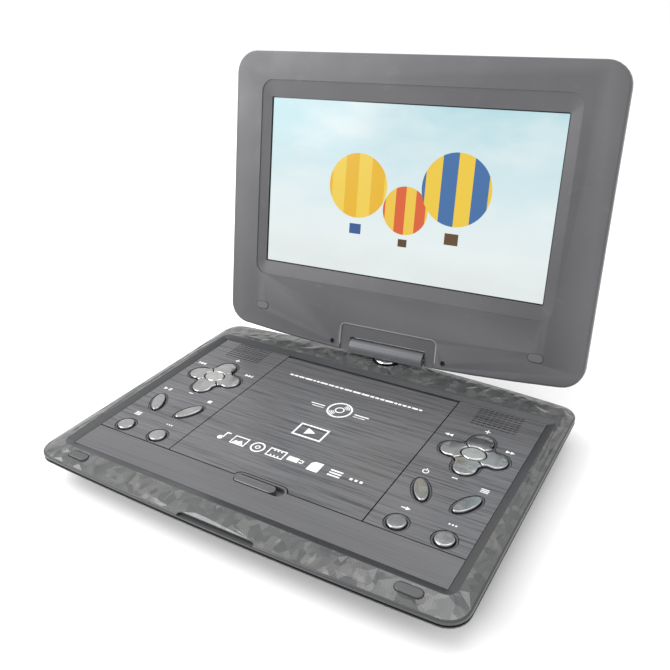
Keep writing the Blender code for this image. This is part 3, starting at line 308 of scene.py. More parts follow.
def crystal():
    """Clear-coated frame plastic whose shards differ a little in tone and in the run of their streaks."""
    made, tree, shader = new_material("crystal_frame", (0.09, 0.095, 0.09), 0.3)
    shards = node(tree, "ShaderNodeTexVoronoi", Scale=185.0, Randomness=1.0)
    tree.links.new(object_space(tree, (1, 1, 0.2)), shards.inputs["Vector"])
    split = tree.nodes.new("ShaderNodeSeparateColor")
    tree.links.new(shards.outputs["Color"], split.inputs["Color"])
    tone = ramp(tree, split.outputs[0], (0.0, (0.044, 0.046, 0.048)), (0.6, (0.066, 0.068, 0.067)),
                (1.0, (0.1, 0.101, 0.097)))
    angle = node(tree, "ShaderNodeMath", operation="MULTIPLY")
    tree.links.new(split.outputs[1], angle.inputs[0])
    angle.inputs[1].default_value = 6.28
    spun = node(tree, "ShaderNodeVectorRotate", rotation_type="Z_AXIS")
    tree.links.new(object_space(tree, (1, 1, 1)), spun.inputs["Vector"])
    tree.links.new(angle.outputs[0], spun.inputs["Angle"])
    fan = node(tree, "ShaderNodeTexWave", Scale=230.0, Distortion=1.2, Detail=2.0)
    tree.links.new(spun.outputs["Vector"], fan.inputs["Vector"])
    streaks = ramp(tree, fan.outputs["Fac"], (0.2, 0.9), (0.75, 1.0), (0.97, 1.22))
    tree.links.new(mix(tree, "MULTIPLY", 1.0, tone, streaks), shader.inputs["Base Color"])
    gloss = ramp(tree, noise(tree, 60, 4), (0.3, 0.24), (0.75, 0.4))
    tree.links.new(gloss, shader.inputs["Roughness"])
    shader.inputs["Coat Weight"].default_value = 0.5
    shader.inputs["Coat Roughness"].default_value = 0.12
    return made


def display():
    """Lit display: three striped balloons in a pale sky, inside a black edge."""
    made, tree, shader = new_material("display", (0.01, 0.01, 0.01), 0.2)
    half, low, high = 108.0 * MM, 55.8 * MM, 177.6 * MM
    coordinates = tree.nodes.new("ShaderNodeTexCoord")

    def along(axis):
        dot = node(tree, "ShaderNodeVectorMath", operation="DOT_PRODUCT")
        dot.inputs[1].default_value = axis
        tree.links.new(coordinates.outputs["Object"], dot.inputs[0])
        return dot.outputs["Value"]

    def math(kind, a, b):
        made = node(tree, "ShaderNodeMath", operation=kind)
        for socket, value in zip(made.inputs, (a, b)):
            if isinstance(value, float):
                socket.default_value = value
            else:
                tree.links.new(value, socket)
        return made.outputs[0]

    origin = HINGE * MM
    u = math("SUBTRACT", along(U), float(origin.dot(U)))
    v = math("SUBTRACT", along(UP), float(origin.dot(UP)))
    height = math("DIVIDE", math("SUBTRACT", v, low), high - low)
    sky = ramp(
        tree, height,
        (0.0, (0.78, 0.84, 0.83)), (0.22, (0.83, 0.9, 0.9)),
        (0.5, (0.72, 0.87, 0.9)), (1.0, (0.5, 0.76, 0.82)),
    )
    cloud = ramp(tree, noise(tree, 16, 5, (1, 1, 2.2)), (0.42, 0.0), (0.72, 0.75))
    sky = mix(tree, "MIX", cloud, sky, (0.86, 0.93, 0.94))
    balloons = (  # across, up, radius, two stripes, basket
        (-34, 120, 23, (0.86, 0.5, 0.02), (0.92, 0.66, 0.08), (0.03, 0.1, 0.3)),
        (4, 106, 17, (0.75, 0.12, 0.03), (0.9, 0.6, 0.06), (0.1, 0.05, 0.02)),
        (40, 124, 25, (0.05, 0.16, 0.4), (0.9, 0.62, 0.05), (0.12, 0.06, 0.02)),
    )
    for bu, bv, r, first, second, basket in balloons:
        across = math("SUBTRACT", u, bu * MM)
        down = math("SUBTRACT", v, bv * MM)
        square = math("ADD", math("MULTIPLY", across, across), math("MULTIPLY", down, down))
        wave = math("SINE", math("MULTIPLY", across, 7.0 / (r * MM)), 0.0)
        stripe = math("GREATER_THAN", wave, 0.0)
        skin = mix(tree, "MIX", stripe, first, second)
        sky = mix(tree, "MIX", math("LESS_THAN", square, (r * MM) ** 2), sky, skin)
        foot = math("ABSOLUTE", math("ADD", down, r * 1.35 * MM), 0.0)
        narrow = math("LESS_THAN", math("ABSOLUTE", across, 0.0), r * 0.2 * MM)
        short = math("LESS_THAN", foot, r * 0.16 * MM)
        sky = mix(tree, "MIX", math("MULTIPLY", narrow, short), sky, basket)
    inside = math("LESS_THAN", math("ABSOLUTE", u, 0.0), half)
    inside = math("MULTIPLY", inside, math("GREATER_THAN", v, low))
    inside = math("MULTIPLY", inside, math("LESS_THAN", v, high))
    picture = mix(tree, "MIX", inside, (0.004, 0.004, 0.005), sky)
    tree.links.new(picture, shader.inputs["Emission Color"])
    shader.inputs["Emission Strength"].default_value = 0.92
    shader.inputs["Coat Weight"].default_value = 0.08
    shader.inputs["Specular IOR Level"].default_value = 0.2
    shader.inputs["Coat Roughness"].default_value = 0.08
    return made


SCREEN_PLASTIC = moulded(
    "screen_plastic", (0.054, 0.054, 0.058), (0.074, 0.074, 0.08), (0.38, 0.5), 0.3, 0.6
)
BARREL_PLASTIC = moulded(
    "barrel_plastic", (0.035, 0.036, 0.04), (0.055, 0.056, 0.062), (0.24, 0.34), 0.15, 0.6
)
SHELL_PLASTIC = moulded(
    "shell_plastic", (0.006, 0.006, 0.007), (0.012, 0.012, 0.013), (0.3, 0.42), 0.25, 0.5
)
TRIM_PLASTIC = moulded(
    "trim_plastic", (0.016, 0.017, 0.019), (0.026, 0.027, 0.03), (0.26, 0.36), 0.12, 0.9
)
INNER_PLASTIC = moulded(
    "inner_plastic_look", (0.005, 0.005, 0.005), (0.01, 0.01, 0.011), (0.5, 0.65), 0.3, 0.2
)
RING_PLASTIC = moulded(
    "key_surround", (0.03, 0.03, 0.033), (0.05, 0.05, 0.054), (0.26, 0.36), 0.1, 0.6
)
BUMPER_RUBBER = moulded(
    "bumper_rubber", (0.04, 0.041, 0.043), (0.06, 0.061, 0.063), (0.45, 0.58), 0.5, 0.4
)
FOOT_RUBBER = moulded(
    "foot_rubber", (0.012, 0.012, 0.012), (0.022, 0.022, 0.023), (0.7, 0.85), 0.7, 0.3
)
CELL_WRAP = moulded("battery_wrap", (0.03, 0.05, 0.09), (0.04, 0.07, 0.12), (0.35, 0.45), 0.1, 0.3)
BRUSHED = brushed("brushed_deck", (0.055, 0.055, 0.06), (0.135, 0.135, 0.143))
SATIN = brushed("satin_strip", (0.1, 0.1, 0.105), (0.118, 0.118, 0.124), 0.18)
LATCH_FACE = brushed("latch_face", (0.085, 0.085, 0.088), (0.12, 0.12, 0.124), 0.3)
KEY_METAL = metal("key_metal", (0.42, 0.42, 0.425), 0.18, 0.12)
MIRROR_METAL = metal("centre_key_metal", (0.55, 0.55, 0.54), 0.06, 0.03, 400, 0.06)
# Lighter plastic for the pocket's bevel: a painted highlight along its edge.
LIP_PAINTED_HIGHLIGHT = moulded("lip_painted_highlight", (0.13, 0.13, 0.14), (0.2, 0.2, 0.21), (0.2, 0.3), 0.1, 0.8)
CHROME = metal("turret_chrome", (0.86, 0.86, 0.86), 0.06, 0.02, 300, 0.05)
STEEL = metal("worn_steel", (0.5, 0.5, 0.51), 0.3, 0.2)
CRYSTAL = crystal()
DISPLAY = display()


def board_material():
    made, tree, shader = new_material("circuit_board_look", (0.02, 0.16, 0.06), 0.4)
    tracks = node(tree, "ShaderNodeTexBrick", Scale=160.0)
    tree.links.new(object_space(tree, (1, 1, 1)), tracks.inputs["Vector"])
    tracks.inputs["Color1"].default_value = (0.015, 0.12, 0.045, 1)
    tracks.inputs["Color2"].default_value = (0.02, 0.16, 0.06, 1)
    tracks.inputs["Mortar"].default_value = (0.05, 0.24, 0.09, 1)
    tree.links.new(tracks.outputs["Color"], shader.inputs["Base Color"])
    shader.inputs["Coat Weight"].default_value = 0.4
    return made


def print_material():
    made, tree, shader = new_material("white_print", (0.8, 0.8, 0.8), 0.45)
    wear_and_highlight = ramp(tree, noise(tree, 700, 4), (0.3, 0.58), (0.6, 0.86))
    tree.links.new(wear_and_highlight, shader.inputs["Base Color"])
    add_bump(tree, shader, noise(tree, 1500, 2), 0.15, 0.00003)
    return made


BOARD = board_material()
PRINT = print_material()

FINISHES = {
    "bottom_shell": SHELL_PLASTIC, "top_housing": TRIM_PLASTIC, "front_panel": SATIN,
    "key_panel_left": BRUSHED, "key_panel_right": BRUSHED, "disc_lid": BRUSHED, "lid_latch": LATCH_FACE,
    "disc_well": INNER_PLASTIC, "spindle_motor": STEEL, "turntable": INNER_PLASTIC, "rail_left": STEEL,
    "rail_right": STEEL, "pickup": INNER_PLASTIC, "sled_pinion": RING_PLASTIC, "sled_motor": STEEL,
    "main_board": BOARD, "keypad_board_left": BOARD, "keypad_board_right": BOARD, "screen_board": BOARD,
    "battery_pack": CELL_WRAP, "speaker_left": INNER_PLASTIC, "speaker_right": INNER_PLASTIC,
    "dc_inlet": INNER_PLASTIC, "phones_jack": INNER_PLASTIC, "usb_port": STEEL, "card_slot": STEEL,
    "foot_front_left": FOOT_RUBBER, "foot_front_right": FOOT_RUBBER, "foot_back_left": FOOT_RUBBER,
    "foot_back_right": FOOT_RUBBER,
    "bumper_front_left": BUMPER_RUBBER, "bumper_front_right": BUMPER_RUBBER,
    "bumper_screen_left": SCREEN_PLASTIC, "bumper_screen_right": SCREEN_PLASTIC,
    "turret_post": CHROME, "turret_nut": STEEL, "hinge_barrel": BARREL_PLASTIC, "hinge_shaft": STEEL,
    "screen_bezel": SCREEN_PLASTIC, "screen_back": SCREEN_PLASTIC, "lcd_panel": DISPLAY,
}
BEVELS = {
    "lid_latch": 0.25, "bumper_front_left": 0.4, "bumper_front_right": 0.4,
    "hinge_barrel": 0.3, "screen_bezel": 0.22,
}

for name, piece in nodes.items():
    finish = FINISHES.get(name, KEY_METAL)
    if not piece.material_slots:
        piece.data.materials.append(finish)
    for material_slot in piece.material_slots:
        material_slot.link = "OBJECT"
        material_slot.material = finish
    if name in BEVELS:
        soft = piece.modifiers.new("soft_edge", "BEVEL")
        soft.width = BEVELS[name] * MM
        soft.segments = 3
        soft.limit_method = "ANGLE"
        soft.angle_limit = radians(35)
        soft.harden_normals = True


# ------------------------------------------------------------------ frame's moulded shards

BULGE, BULGE_HALF = 7.0, 34.0  # swelling of the base behind the hinge
HALF_DEPTH = 107.3
SHARD_STEP = 4.8
SHARD_LIFT = (0.06, 0.8)  # above the frame, least and most
SKIN_DEPTH = 0.5  # of the skin's underside, within the frame


def bowed_side(half, edge, bow, corner, count, segments):
    slope = 0.0
    for _ in range(8):
        x_end = half - corner + corner * sin(slope)
        slope = atan2(2 * bow * x_end, half**2)
    y_end = edge - bow * (x_end / half) ** 2
    run = []
    for i in range(segments):
        x = x_end * i / segments
        run.append((x, edge - bow * (x / half) ** 2))
    return run + arc(half - corner, y_end - corner * cos(slope), corner, 90 - slope * 180 / pi, 0, count)


def ring_outline(half, low, high, low_bow, high_bow, corner, bulge=0.0):
    upper = bowed_side(half, high, high_bow, corner, 12, 30)
    lower = bowed_side(half, -low, low_bow, corner, 12, 30)
    right = [(x, -y) for x, y in lower] + upper[::-1]
    points = right + [(-x, y) for x, y in right[::-1] if x > 1e-6]
    swollen = []
    for x, y in points:
        if y > 0 and abs(x) < BULGE_HALF:
            y += bulge * (1 + cos(pi * x / BULGE_HALF)) / 2
        flare = FLARE if bulge else 0.0
        swollen.append((x * (1 + flare * (BACK - y) / (2 * BACK * HALF_WIDTH)), y))
    return swollen


def inside(point, loop):
    x, y = point
    hit = False
    for (x0, y0), (x1, y1) in zip(loop, loop[1:] + loop[:1]):
        if (y0 > y) != (y1 > y) and x < (x1 - x0) * (y - y0) / (y1 - y0) + x0:
            hit = not hit
    return hit


def distance(point, loop):
    p = Vector(point)
    best = 1e9
    for a, b in zip(loop, loop[1:] + loop[:1]):
        a, b = Vector(a), Vector(b)
        t = max(0.0, min(1.0, (p - a).dot(b - a) / max((b - a).length_squared, 1e-9)))
        best = min(best, (a + (b - a) * t - p).length)
    return best


def shards():
    """Thin moulded skin on the frame: small flat shards between its two edges, as one closed solid."""
    seed = random.Random(7)
    outer = ring_outline(HALF_WIDTH - 1.0, FRONT + 1.0, HALF_DEPTH - 1.0, 3.0, 8.0, 12.0, BULGE)
    grow = 5.25
    inner = ring_outline(DECK_HALF + grow, DECK_FRONT - grow, DECK_BACK + grow, 0, 0, 6.25)
    holes = [inner]
    for name in ("bumper_front_left", "bumper_front_right"):
        lo, hi = mm_box(name)
        centre = ((lo[0] + hi[0]) / 2, (lo[1] + hi[1]) / 2)
        holes.append(stadium(*centre, hi[0] - lo[0] + 1.2, hi[1] - lo[1] + 1.2, 6))
    post_lo, post_hi = mm_box("turret_post")
    reach = (post_hi[0] - post_lo[0]) / 2 + 2.0
    holes.append(circle(HINGE.x, HINGE.y, reach, 36))
    holes.append(stadium(2.5, FRONT - 0.5, 53.8, 6.8, 8))
    points = []
    step = SHARD_STEP
    count_x, count_y = int(2 * HALF_WIDTH / step) + 2, int(2 * (HALF_DEPTH + 8) / step) + 1
    for i in range(count_x):
        for j in range(count_y):
            x = -HALF_WIDTH - FLARE + (i + 0.5 * (j % 2) + seed.uniform(-0.42, 0.42)) * step
            y = -HALF_DEPTH + (j + seed.uniform(-0.42, 0.42)) * step
            p = (x, y)
            if inside(p, outer) and not any(inside(p, hole) for hole in holes):
                if all(distance(p, loop) > 1.5 for loop in [outer, *holes]):
                    points.append(p)
    vertices = [Vector(p) for p in points]
    edges = []
    boundary = []
    for loop in [outer, *holes]:
        start = len(vertices)
        boundary.append((start, len(loop)))
        vertices += [Vector(p) for p in loop]
        edges += [(start + i, start + (i + 1) % len(loop)) for i in range(len(loop))]
    out_vertices, _, faces, _, _, _ = delaunay_2d_cdt(vertices, edges, [], 0, 1e-5)
    kept = []
    for face in faces:
        centre = sum((out_vertices[i] for i in face), Vector((0, 0))) / len(face)
        if inside(centre, outer) and not any(inside(centre, hole) for hole in holes):
            kept.append(face)
    used = sorted({i for face in kept for i in face})
    bm = bmesh.new()
    top, low = {}, {}
    for i in used:
        p = out_vertices[i]
        near, far = distance(p, inner), distance(p, outer)
        surface = INNER_Z - (INNER_Z - OUTER_Z) * near / (near + far)
        rim = min(distance(p, loop) for loop in [outer, *holes])
        lift = SHARD_LIFT[0] if rim < 0.2 else seed.uniform(*SHARD_LIFT)
        top[i] = bm.verts.new(Vector((p.x, p.y, surface + lift)) * MM)
        low[i] = bm.verts.new(Vector((p.x, p.y, surface - SKIN_DEPTH)) * MM)
    border = {}
    for face in kept:
        bm.faces.new([top[i] for i in face])
        bm.faces.new([low[i] for i in reversed(face)])
        for a, b in zip(face, face[1:] + face[:1]):
            border[(a, b)] = 1
    for a, b in border:
        if (b, a) not in border:
            bm.faces.new((top[b], top[a], low[a], low[b]))
    make("frame_shards", bm, "base", CRYSTAL, smooth=0)


shards()


# ------------------------------------------------------------------ keys

LOBE_REACH, LOBE_RADIUS, LOBE_BLEND, CROSS_NECK, CROSS_SEAM = 14.2, 7.2, 6.0, 12.4, 0.5
CENTRE_HALF = (7.7, 6.1)
ROUND_RADIUS = 5.5
OVAL_LENGTH, OVAL_WIDTH, OVAL_LEAN = 19.6, 8.4, 28.0
LOBE_FALL, LOBE_FALL_START, LOBE_FALL_RUN = 0.75, 9.5, 8.0  # of a lobe's top, outwards


def cross_radius(angle, grow):
    """Edge of the cross pad's four round lobes, at an angle from a lobe's middle."""
    t = (angle + pi / 4) % (pi / 2) - pi / 4
    within = (LOBE_RADIUS + grow) ** 2 - (LOBE_REACH * sin(t)) ** 2
    reach = LOBE_REACH * cos(t) + sqrt((within + sqrt(within**2 + LOBE_BLEND**2)) / 2)
    return (reach**12 + (CROSS_NECK + grow) ** 12) ** (1 / 12)


def cross_outline(cx, cy, grow, count=112):
    turns = [2 * pi * i / count for i in range(count)]
    return [(cx + cross_radius(t, grow) * cos(t), cy + cross_radius(t, grow) * sin(t)) for t in turns]


def lobe_outline(cx, cy, turn, grow):
    """One lobe of a cross pad; shrinks on every side."""
    shrink = max(-grow, 0.0)
    a, b = CENTRE_HALF[0] + 0.4 + shrink, CENTRE_HALF[1] + 0.4 + shrink
    seam = CROSS_SEAM / 2 + shrink
    points = []
    edge = pi / 4 - seam / cross_radius(pi / 4, grow)
    for i in range(49):
        t = edge * (i / 24 - 1)
        points.append((t + radians(turn), cross_radius(t, grow)))
    edge = pi / 4 - seam / sqrt(a * b)
    for i in range(15):
        t = edge * (1 - i / 7) + radians(turn)
        points.append((t, a * b / sqrt((b * cos(t)) ** 2 + (a * sin(t)) ** 2)))
    return [(cx + r * cos(t), cy + r * sin(t)) for t, r in points]


def key_cap(node_name, outline, edge, dome, shape=None, finish=KEY_METAL):
    """Cap with a rounded edge and a slightly domed or dished top, in place of the plain CAD key."""
    lo, hi = mm_box(node_name)
    top = hi[2]
    sections = [(outline(0), lo[2] + 1.0), (outline(0), top - edge)]
    for i in range(1, 5):
        t = pi / 2 * i / 4
        sections.append((outline(-edge * (1 - cos(t))), top - edge * (1 - sin(t))))
    rim = outline(-edge)
    cx = sum(p[0] for p in rim) / len(rim)
    cy = sum(p[1] for p in rim) / len(rim)
    for s in (0.88, 0.72, 0.5, 0.25, 0.06):
        ring = [(cx + (x - cx) * s, cy + (y - cy) * s) for x, y in rim]
        sections.append((ring, top + dome * (1 - s * s)))
    bm = loft(sections)
    if shape:
        for vertex in bm.verts:
            vertex.co.z -= shape(vertex.co.x / MM, vertex.co.y / MM, vertex.co.z / MM)
    cap = make(node_name + "_cap", bm, node_name + "_body", finish, smooth=50)
    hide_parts(node_name)


def key_ring(name, outline):
    """Moulded ring round a key, a little below the panel."""
    low, high = DECK_Z - 1.25, DECK_Z - 0.25
    profile = [
        (1.75, low), (1.75, high - 0.15), (1.6, high),
        (0.85, high - 0.12), (0.6, high - 0.5), (0.6, low),
    ]
    sections = [(outline(grow), z) for grow, z in profile]
    make(name, loft(sections, closed=True), "base", RING_PLASTIC, smooth=40)


for side, sign in (("left", -1), ("right", 1)):
    lo, hi = mm_box(f"key_{side}_pad_centre")
    cx, cy = (lo[0] + hi[0]) / 2, (lo[1] + hi[1]) / 2
    top = hi[2]
    for turn, way in ((0, "right"), (90, "back"), (180, "left"), (270, "front")):

        def slope(x, y, z, cx=cx, cy=cy, top=top):
            """How far a lobe's surface lies below its own flat top."""
            r = sqrt((x - cx) ** 2 + (y - cy) ** 2)
            if z < top - 1.4:
                return 0.0
            share = max(0.0, min(1.0, (r - LOBE_FALL_START) / LOBE_FALL_RUN))
            return LOBE_FALL * MM * share ** 1.5 * (1 if r < 18.6 else 0.8)

        lobe = lambda grow, t=turn: lobe_outline(cx, cy, t, grow)
        key_cap(f"key_{side}_pad_{way}", lobe, 0.8, 0.0, slope)
    half_x, half_y = CENTRE_HALF
    centre = lambda grow: ellipse(cx, cy, 2 * (half_x + grow), 2 * (half_y + grow), 90)
    key_cap(f"key_{side}_pad_centre", centre, 0.9, 0.0, None, MIRROR_METAL)
    key_ring(f"cross_ring_{side}", lambda grow: cross_outline(cx, cy, grow))
    for spot in ("outer", "inner"):
        name = f"key_{side}_round_{spot}"
        lo, hi = mm_box(name)
        rx, ry = (lo[0] + hi[0]) / 2, (lo[1] + hi[1]) / 2
        disc_edge = lambda grow: circle(rx, ry, ROUND_RADIUS + grow, 48)
        key_cap(name, disc_edge, 0.75, 0.0)
        key_ring(f"round_ring_{side}_{spot}", disc_edge)
        name = f"key_{side}_oval_{spot}"
        lo, hi = mm_box(name)
        ox, oy = (lo[0] + hi[0]) / 2, (lo[1] + hi[1]) / 2
        lean = OVAL_LEAN * (1 if ox > sign * KEY_GROUP_X else -1)
        oval = lambda grow: ellipse(ox, oy, OVAL_LENGTH + 2 * grow, OVAL_WIDTH + 2 * grow, lean)
        key_cap(name, oval, 0.65, 0.0)
        key_ring(f"oval_ring_{side}_{spot}", oval)


# ------------------------------------------------------------------ generic printed marks

def marks(name, body, shapes, level=DECK_Z, thick=0.05):
    bm = bmesh.new()
    for points in shapes:
        plate(bm, points, level - 0.02, level + thick)
    make(name, bm, body, PRINT, smooth=0)


def bar(x, y, w, h):
    return rectangle(x - w / 2, y - h / 2, x + w / 2, y + h / 2)


def triangle(x, y, size, way=1):
    return [(x - way * size / 2, y - size / 2), (x + way * size / 2, y), (x - way * size / 2, y + size / 2)]


def ring_arcs(x, y, r, w, count=20, start=0, end=360):
    """A ring as closed plates, one to each stretch."""
    shapes = []
    step = (end - start) / count
    for i in range(count):
        a, b = radians(start + step * i), radians(start + step * (i + 1))
        shapes.append([
            (x + r * cos(a), y + r * sin(a)), (x + r * cos(b), y + r * sin(b)),
            (x + (r - w) * cos(b), y + (r - w) * sin(b)), (x + (r - w) * cos(a), y + (r - w) * sin(a)),
        ])
    return shapes


def play(x, y):
    return [triangle(x - 0.9, y, 2.0), bar(x + 1.2, y, 0.5, 2.0), bar(x + 2.1, y, 0.5, 2.0)]


def skip(x, y, way):
    return [
        triangle(x - way * 1.1, y, 1.9, way), triangle(x + way * 0.8, y, 1.9, way),
        bar(x + way * 2.1, y, 0.45, 1.9),
    ]


def wind(x, y, way):
    return [triangle(x - way * 1.0, y, 1.9, way), triangle(x + way * 0.9, y, 1.9, way)]


def stop(x, y):
    return [bar(x, y, 1.9, 1.9)]


def plus(x, y):
    return [bar(x, y, 2.4, 0.5), bar(x, y + 0.75, 0.5, 0.98), bar(x, y - 0.75, 0.5, 0.98)]


def minus(x, y):
    return [bar(x, y, 2.4, 0.5)]


def lines(x, y):
    return [bar(x, y + k * 0.9, 3.2, 0.45) for k in (-1, 0, 1)]


def standby(x, y):
    return ring_arcs(x, y, 1.4, 0.42, 12, 115, 425) + [bar(x, y + 1.1, 0.42, 1.5)]


def dots(x, y):
    return [bar(x + k * 1.3, y, 0.7, 0.7) for k in (-1, 0, 1)]


def arrow(x, y, way):
    return [triangle(x + way * 1.0, y, 1.9, way), bar(x - way * 1.0, y, 1.9, 0.5)]


def at(dy):
    return DECK_FRONT + dy


def scaled(shapes, cx, cy, factor):
    return [[(cx + (x - cx) * factor, cy + (y - cy) * factor) for x, y in points] for points in shapes]


def label(maker, x, dy, *way):
    """One key's printed mark, at x and at a depth behind the deck's front edge."""
    return scaled(maker(x, at(dy), *way), x, at(dy), 1.5)


left = label(skip, -123, 120, -1) + label(plus, -101, 135) + label(skip, -79.7, 120.5, 1)
left += label(minus, -102, 82) + label(stop, -82.4, 79) + label(play, -121.3, 79)
left += label(lines, -117, 45) + label(dots, -88, 44)
right = label(wind, 78.6, 120.5, -1) + label(plus, 99.5, 134) + label(wind, 119.6, 119.5, 1)
right += label(minus, 99.3, 81) + label(standby, 81.7, 79) + label(lines, 118.8, 78)
right += label(arrow, 86, 43.8, 1) + label(dots, 114, 43.4)
marks("deck_marks_left", "base", left)
marks("deck_marks_right", "base", right)

row = []
seed = random.Random(3)
x = -54.0
while x < 53.0:
    width = seed.choice((2.2, 3.0, 4.4, 6.0))
    row.append(rectangle(x, at(136.3), min(x + width, 55.0), at(138.0)))
    x += width + 0.9
marks("lid_line", "lid", row)

emblem = ring_arcs(3, at(112), 9.0, 1.3, 40) + ring_arcs(3, at(112), 3.4, 0.9, 24)
for turn in (25, 205):
    for k in range(3):
        emblem += ring_arcs(3, at(112), 7.0 - 1.1 * k, 0.55, 8, turn, turn + 50)
emblem += [bar(3 + s * 17, at(112), 11.0, 1.0) for s in (-1, 1)]
emblem += [bar(3 + s * 16, at(109.6), 9.0, 0.6) for s in (-1, 1)]
marks("lid_emblem", "lid", emblem)

second = []
for side_x in (-8.6, 7.8):
    second.append(bar(side_x, at(81), 1.0, 9.0))
second += [bar(-0.4, at(85.9), 17.4, 1.0), bar(-0.4, at(76.1), 17.4, 1.0), triangle(-0.4, at(81), 5.6)]
marks("lid_badge", "lid", scaled(second, -0.4, at(81), 1.25))


def film(x, y):
    shapes = [bar(x, y + s * 2.6, 9.0, 0.6) for s in (-1, 1)]
    shapes += [bar(x + s * 4.2, y, 0.6, 4.6) for s in (-1, 1)]
    return shapes + [bar(x + k * 1.9, y + s * 1.7, 0.8, 0.8) for k in (-1, 0, 1) for s in (-1, 1)]


def disc(x, y):
    return ring_arcs(x, y, 3.6, 0.8, 28) + ring_arcs(x, y, 1.3, 0.5, 14)


def note(x, y):
    stem = [bar(x + 1.2, y + 0.8, 0.6, 4.6), bar(x + 2.4, y + 2.8, 1.8, 0.8)]
    return stem + ring_arcs(x, y - 1.6, 1.4, 1.2, 14)


def picture(x, y):
    frame_bars = [bar(x, y + s * 2.7, 8.0, 0.6) for s in (-1, 1)]
    frame_bars += [bar(x + s * 3.7, y, 0.6, 4.8) for s in (-1, 1)]
    hill = [
        (x - 2.9, y - 2.1), (x + 2.9, y - 2.1), (x + 1.0, y + 0.6),
        (x - 0.6, y - 0.9), (x - 1.5, y + 0.0),
    ]
    return frame_bars + [hill]


def stick(x, y):
    return [rectangle(x - 4.0, y - 1.5, x + 1.6, y + 1.5), bar(x + 2.9, y + 0.8, 1.8, 0.6),
            bar(x + 2.9, y - 0.8, 1.8, 0.6), bar(x + 3.9, y, 0.5, 2.2)]


def card(x, y):
    return [[
        (x - 2.8, y - 3.2), (x + 2.8, y - 3.2), (x + 2.8, y + 3.2),
        (x - 1.2, y + 3.2), (x - 2.8, y + 1.6),
    ]]


icons = []
makers = (note, picture, disc, film, stick, card, lines, dots)
for i, maker in enumerate(makers):
    x = -49.5 + i * 14.2
    icons += scaled(maker(x, at(51.5)), x, at(51.5), 1.4 if i < 6 else 2.6)
marks("lid_icons", "lid", icons)


# ------------------------------------------------------------------ small fittings

for side, sign in (("left", -1), ("right", 1)):
    liner = bmesh.new()
    x0, x1 = sorted((sign * (panel_lo[0] + 0.2), sign * (DECK_HALF - 0.4)))
    plate(liner, rectangle(x0, at(22.3), x1, at(23.5)), DECK_Z - 1.08, DECK_Z - 0.86)
    make(f"seam_liner_{side}", liner, "base", INNER_PLASTIC, smooth=0)


def screw(name, body, centre, across, along, out, r, proud, finish):
    """Cross-head screw whose face looks along out; across and along span the face."""

    def place(a, b, z):
        return centre + across * a + along * b + out * z

    rim = circle(0, 0, r, 24)
    sections = [(rim, -0.5), (rim, proud - 0.25), (circle(0, 0, r - 0.3, 24), proud)]
    for s, z in ((0.62, proud), (0.4, proud - 0.02)):
        ring = []
        for i in range(24):
            t = 2 * pi * i / 24
            reach = r * s * (1.0 if i % 6 in (0, 1, 5) else 0.38)
            ring.append((reach * cos(t), reach * sin(t)))
        sections.append((ring, z))
    deep = [(a * 0.8, b * 0.8) for a, b in sections[-1][0]]
    sections.append((deep, proud - 0.35))
    make(name, loft(sections, place), body, finish, smooth=35)


for sign, side in ((-1, "left"), (1, "right")):
    centre = on_screen(sign * 44.8, 1.7, 1.95)
    screw(f"screen_screw_{side}", "screen", centre, U, UP, -IN, 1.6, 0.35, INNER_PLASTIC)

for i, (x, y) in enumerate([(-84, -62), (84, -62), (-84, 62), (84, 62), (0, -62), (0, 62)]):
    across, along, down = Vector((1, 0, 0)), Vector((0, 1, 0)), Vector((0, 0, -1))
    screw(f"case_screw_{i}", "base", Vector((x, y, UNDERSIDE_Z)), across, along, down, 2.3, 0.45, STEEL)

rating = bmesh.new()
plate(rating, rectangle(-38, -22, 38, 22, 2.0), UNDERSIDE_Z - 0.08, UNDERSIDE_Z + 0.1)
for k in range(7):
    text_bar = rectangle(-32, 13.2 - k * 4.2, 30 - (k * 7) % 19, 13.9 - k * 4.2)
    plate(rating, text_bar, UNDERSIDE_Z - 0.13, UNDERSIDE_Z - 0.07)
LABEL, label_tree, label_shader = new_material("plain_label", (0.5, 0.5, 0.5), 0.4)
label_tone = ramp(label_tree, noise(label_tree, 300, 4), (0.3, 0.42), (0.7, 0.55))
label_tree.links.new(label_tone, label_shader.inputs["Base Color"])
make("rating_plate_blank", rating, "base", LABEL, smooth=0)


def pocket_lip():
    """Thin bevel along the top and sides of the screen's pocket, in a lighter plastic as a painted
    highlight.
    """
    points = arc(34.3, 13.3, 4.0, 0, 90, 10) + arc(-34.3, 13.3, 4.0, 90, 180, 10)
    points = [(38.3, 0.5), *points, (-38.3, 0.5)]
    bm = bmesh.new()
    rings = []
    for i, (x, y) in enumerate(points):
        before, after = points[max(i - 1, 0)], points[min(i + 1, len(points) - 1)]
        way = Vector((after[0] - before[0], after[1] - before[1])).normalized()
        out = Vector((way.y, -way.x))
        section = ((-0.35, 0.55), (0.25, -0.06), (0.5, -0.06), (0.5, 0.5))
        rings.append([bm.verts.new(on_screen(x + out.x * a, y + out.y * a, d) * MM) for a, d in section])
    for a, b in zip(rings, rings[1:]):
        for i in range(4):
            j = (i + 1) % 4
            bm.faces.new((a[i], a[j], b[j], b[i]))
    bm.faces.new(rings[0])
    bm.faces.new(rings[-1])
    make("pocket_lip", bm, "screen", LIP_PAINTED_HIGHLIGHT, smooth=35)


pocket_lip()


# ------------------------------------------------------------------ floor, light and camera

FLOOR_HALF = 6.0  # in metres
FLOOR_DROP = 0.2  # in millimetres, so that it isn't level with the feet's undersides
AZIMUTH, ELEVATION, ROLL = radians(32.02), radians(27.14), radians(-2.35)
CAMERA_PLACE = (227.4, -334.5, 297.2)
LENS = 40.119

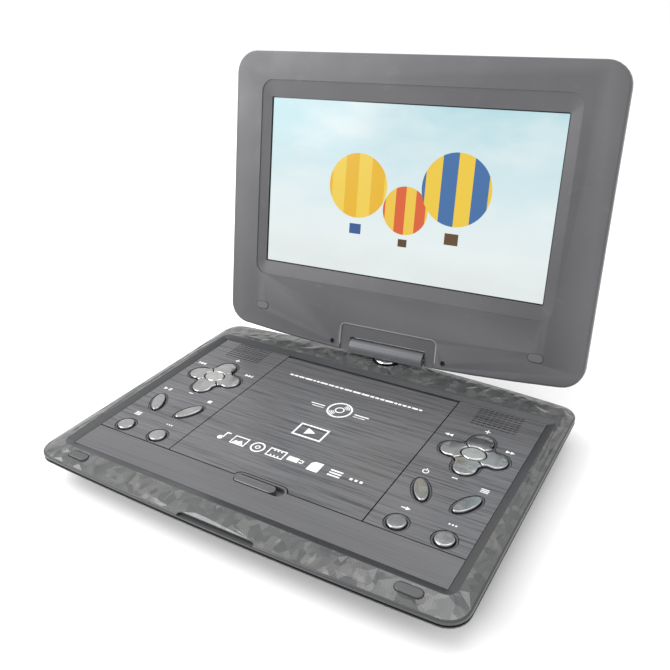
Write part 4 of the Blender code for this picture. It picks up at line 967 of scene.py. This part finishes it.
floor_mesh = bpy.data.meshes.new("floor")
floor_bm = bmesh.new()
bmesh.ops.create_grid(floor_bm, x_segments=1, y_segments=1, size=FLOOR_HALF)
floor_bm.to_mesh(floor_mesh)
floor_bm.free()
floor = bpy.data.objects.new("floor", floor_mesh)
bpy.context.collection.objects.link(floor)
floor_mesh.materials.append(new_material("floor_paper", (0.95, 0.95, 0.95), 0.9)[0])
floor.location.z = -FLOOR_DROP * MM

world = bpy.data.worlds.new("studio")
bpy.context.scene.world = world
world.use_nodes = True
world.node_tree.nodes["Background"].inputs["Color"].default_value = (1, 1, 1, 1)
world.node_tree.nodes["Background"].inputs["Strength"].default_value = 1.05


def softbox(name, place, target, size, power):
    data = bpy.data.lights.new(name, "AREA")
    data.shape = "RECTANGLE"
    data.size, data.size_y = size
    data.energy = power
    lamp = bpy.data.objects.new(name, data)
    bpy.context.collection.objects.link(lamp)
    lamp.location = place
    lamp.rotation_euler = (Vector(target) - Vector(place)).to_track_quat("-Z", "Y").to_euler()


softbox("key_light", (-0.9, -0.4, 1.2), (0, 0, 0.05), (0.9, 0.7), 11)
softbox("sheen_light", (-0.85, -0.95, 0.62), (-0.05, 0.1, 0.16), (0.7, 0.5), 9)
softbox("top_light", (0.1, 0.5, 1.5), (0, 0, 0), (1.2, 0.6), 6)

forward = Vector((-sin(AZIMUTH) * cos(ELEVATION), cos(AZIMUTH) * cos(ELEVATION), -sin(ELEVATION)))
level = Vector((cos(AZIMUTH), sin(AZIMUTH), 0))
upright = level.cross(forward)
right_way = level * cos(ROLL) + upright * sin(ROLL)
up_way = upright * cos(ROLL) - level * sin(ROLL)
camera_data = bpy.data.cameras.new("camera")
camera_data.sensor_width = 36.0
camera_data.lens = LENS
camera_data.clip_start = 0.01
camera = bpy.data.objects.new("camera", camera_data)
bpy.context.collection.objects.link(camera)
turn = Matrix((right_way, up_way, -forward)).transposed().to_4x4()
camera.matrix_world = Matrix.Translation(Vector(CAMERA_PLACE) * MM) @ turn
bpy.context.scene.camera = camera
bpy.context.scene.view_settings.view_transform = "Standard"
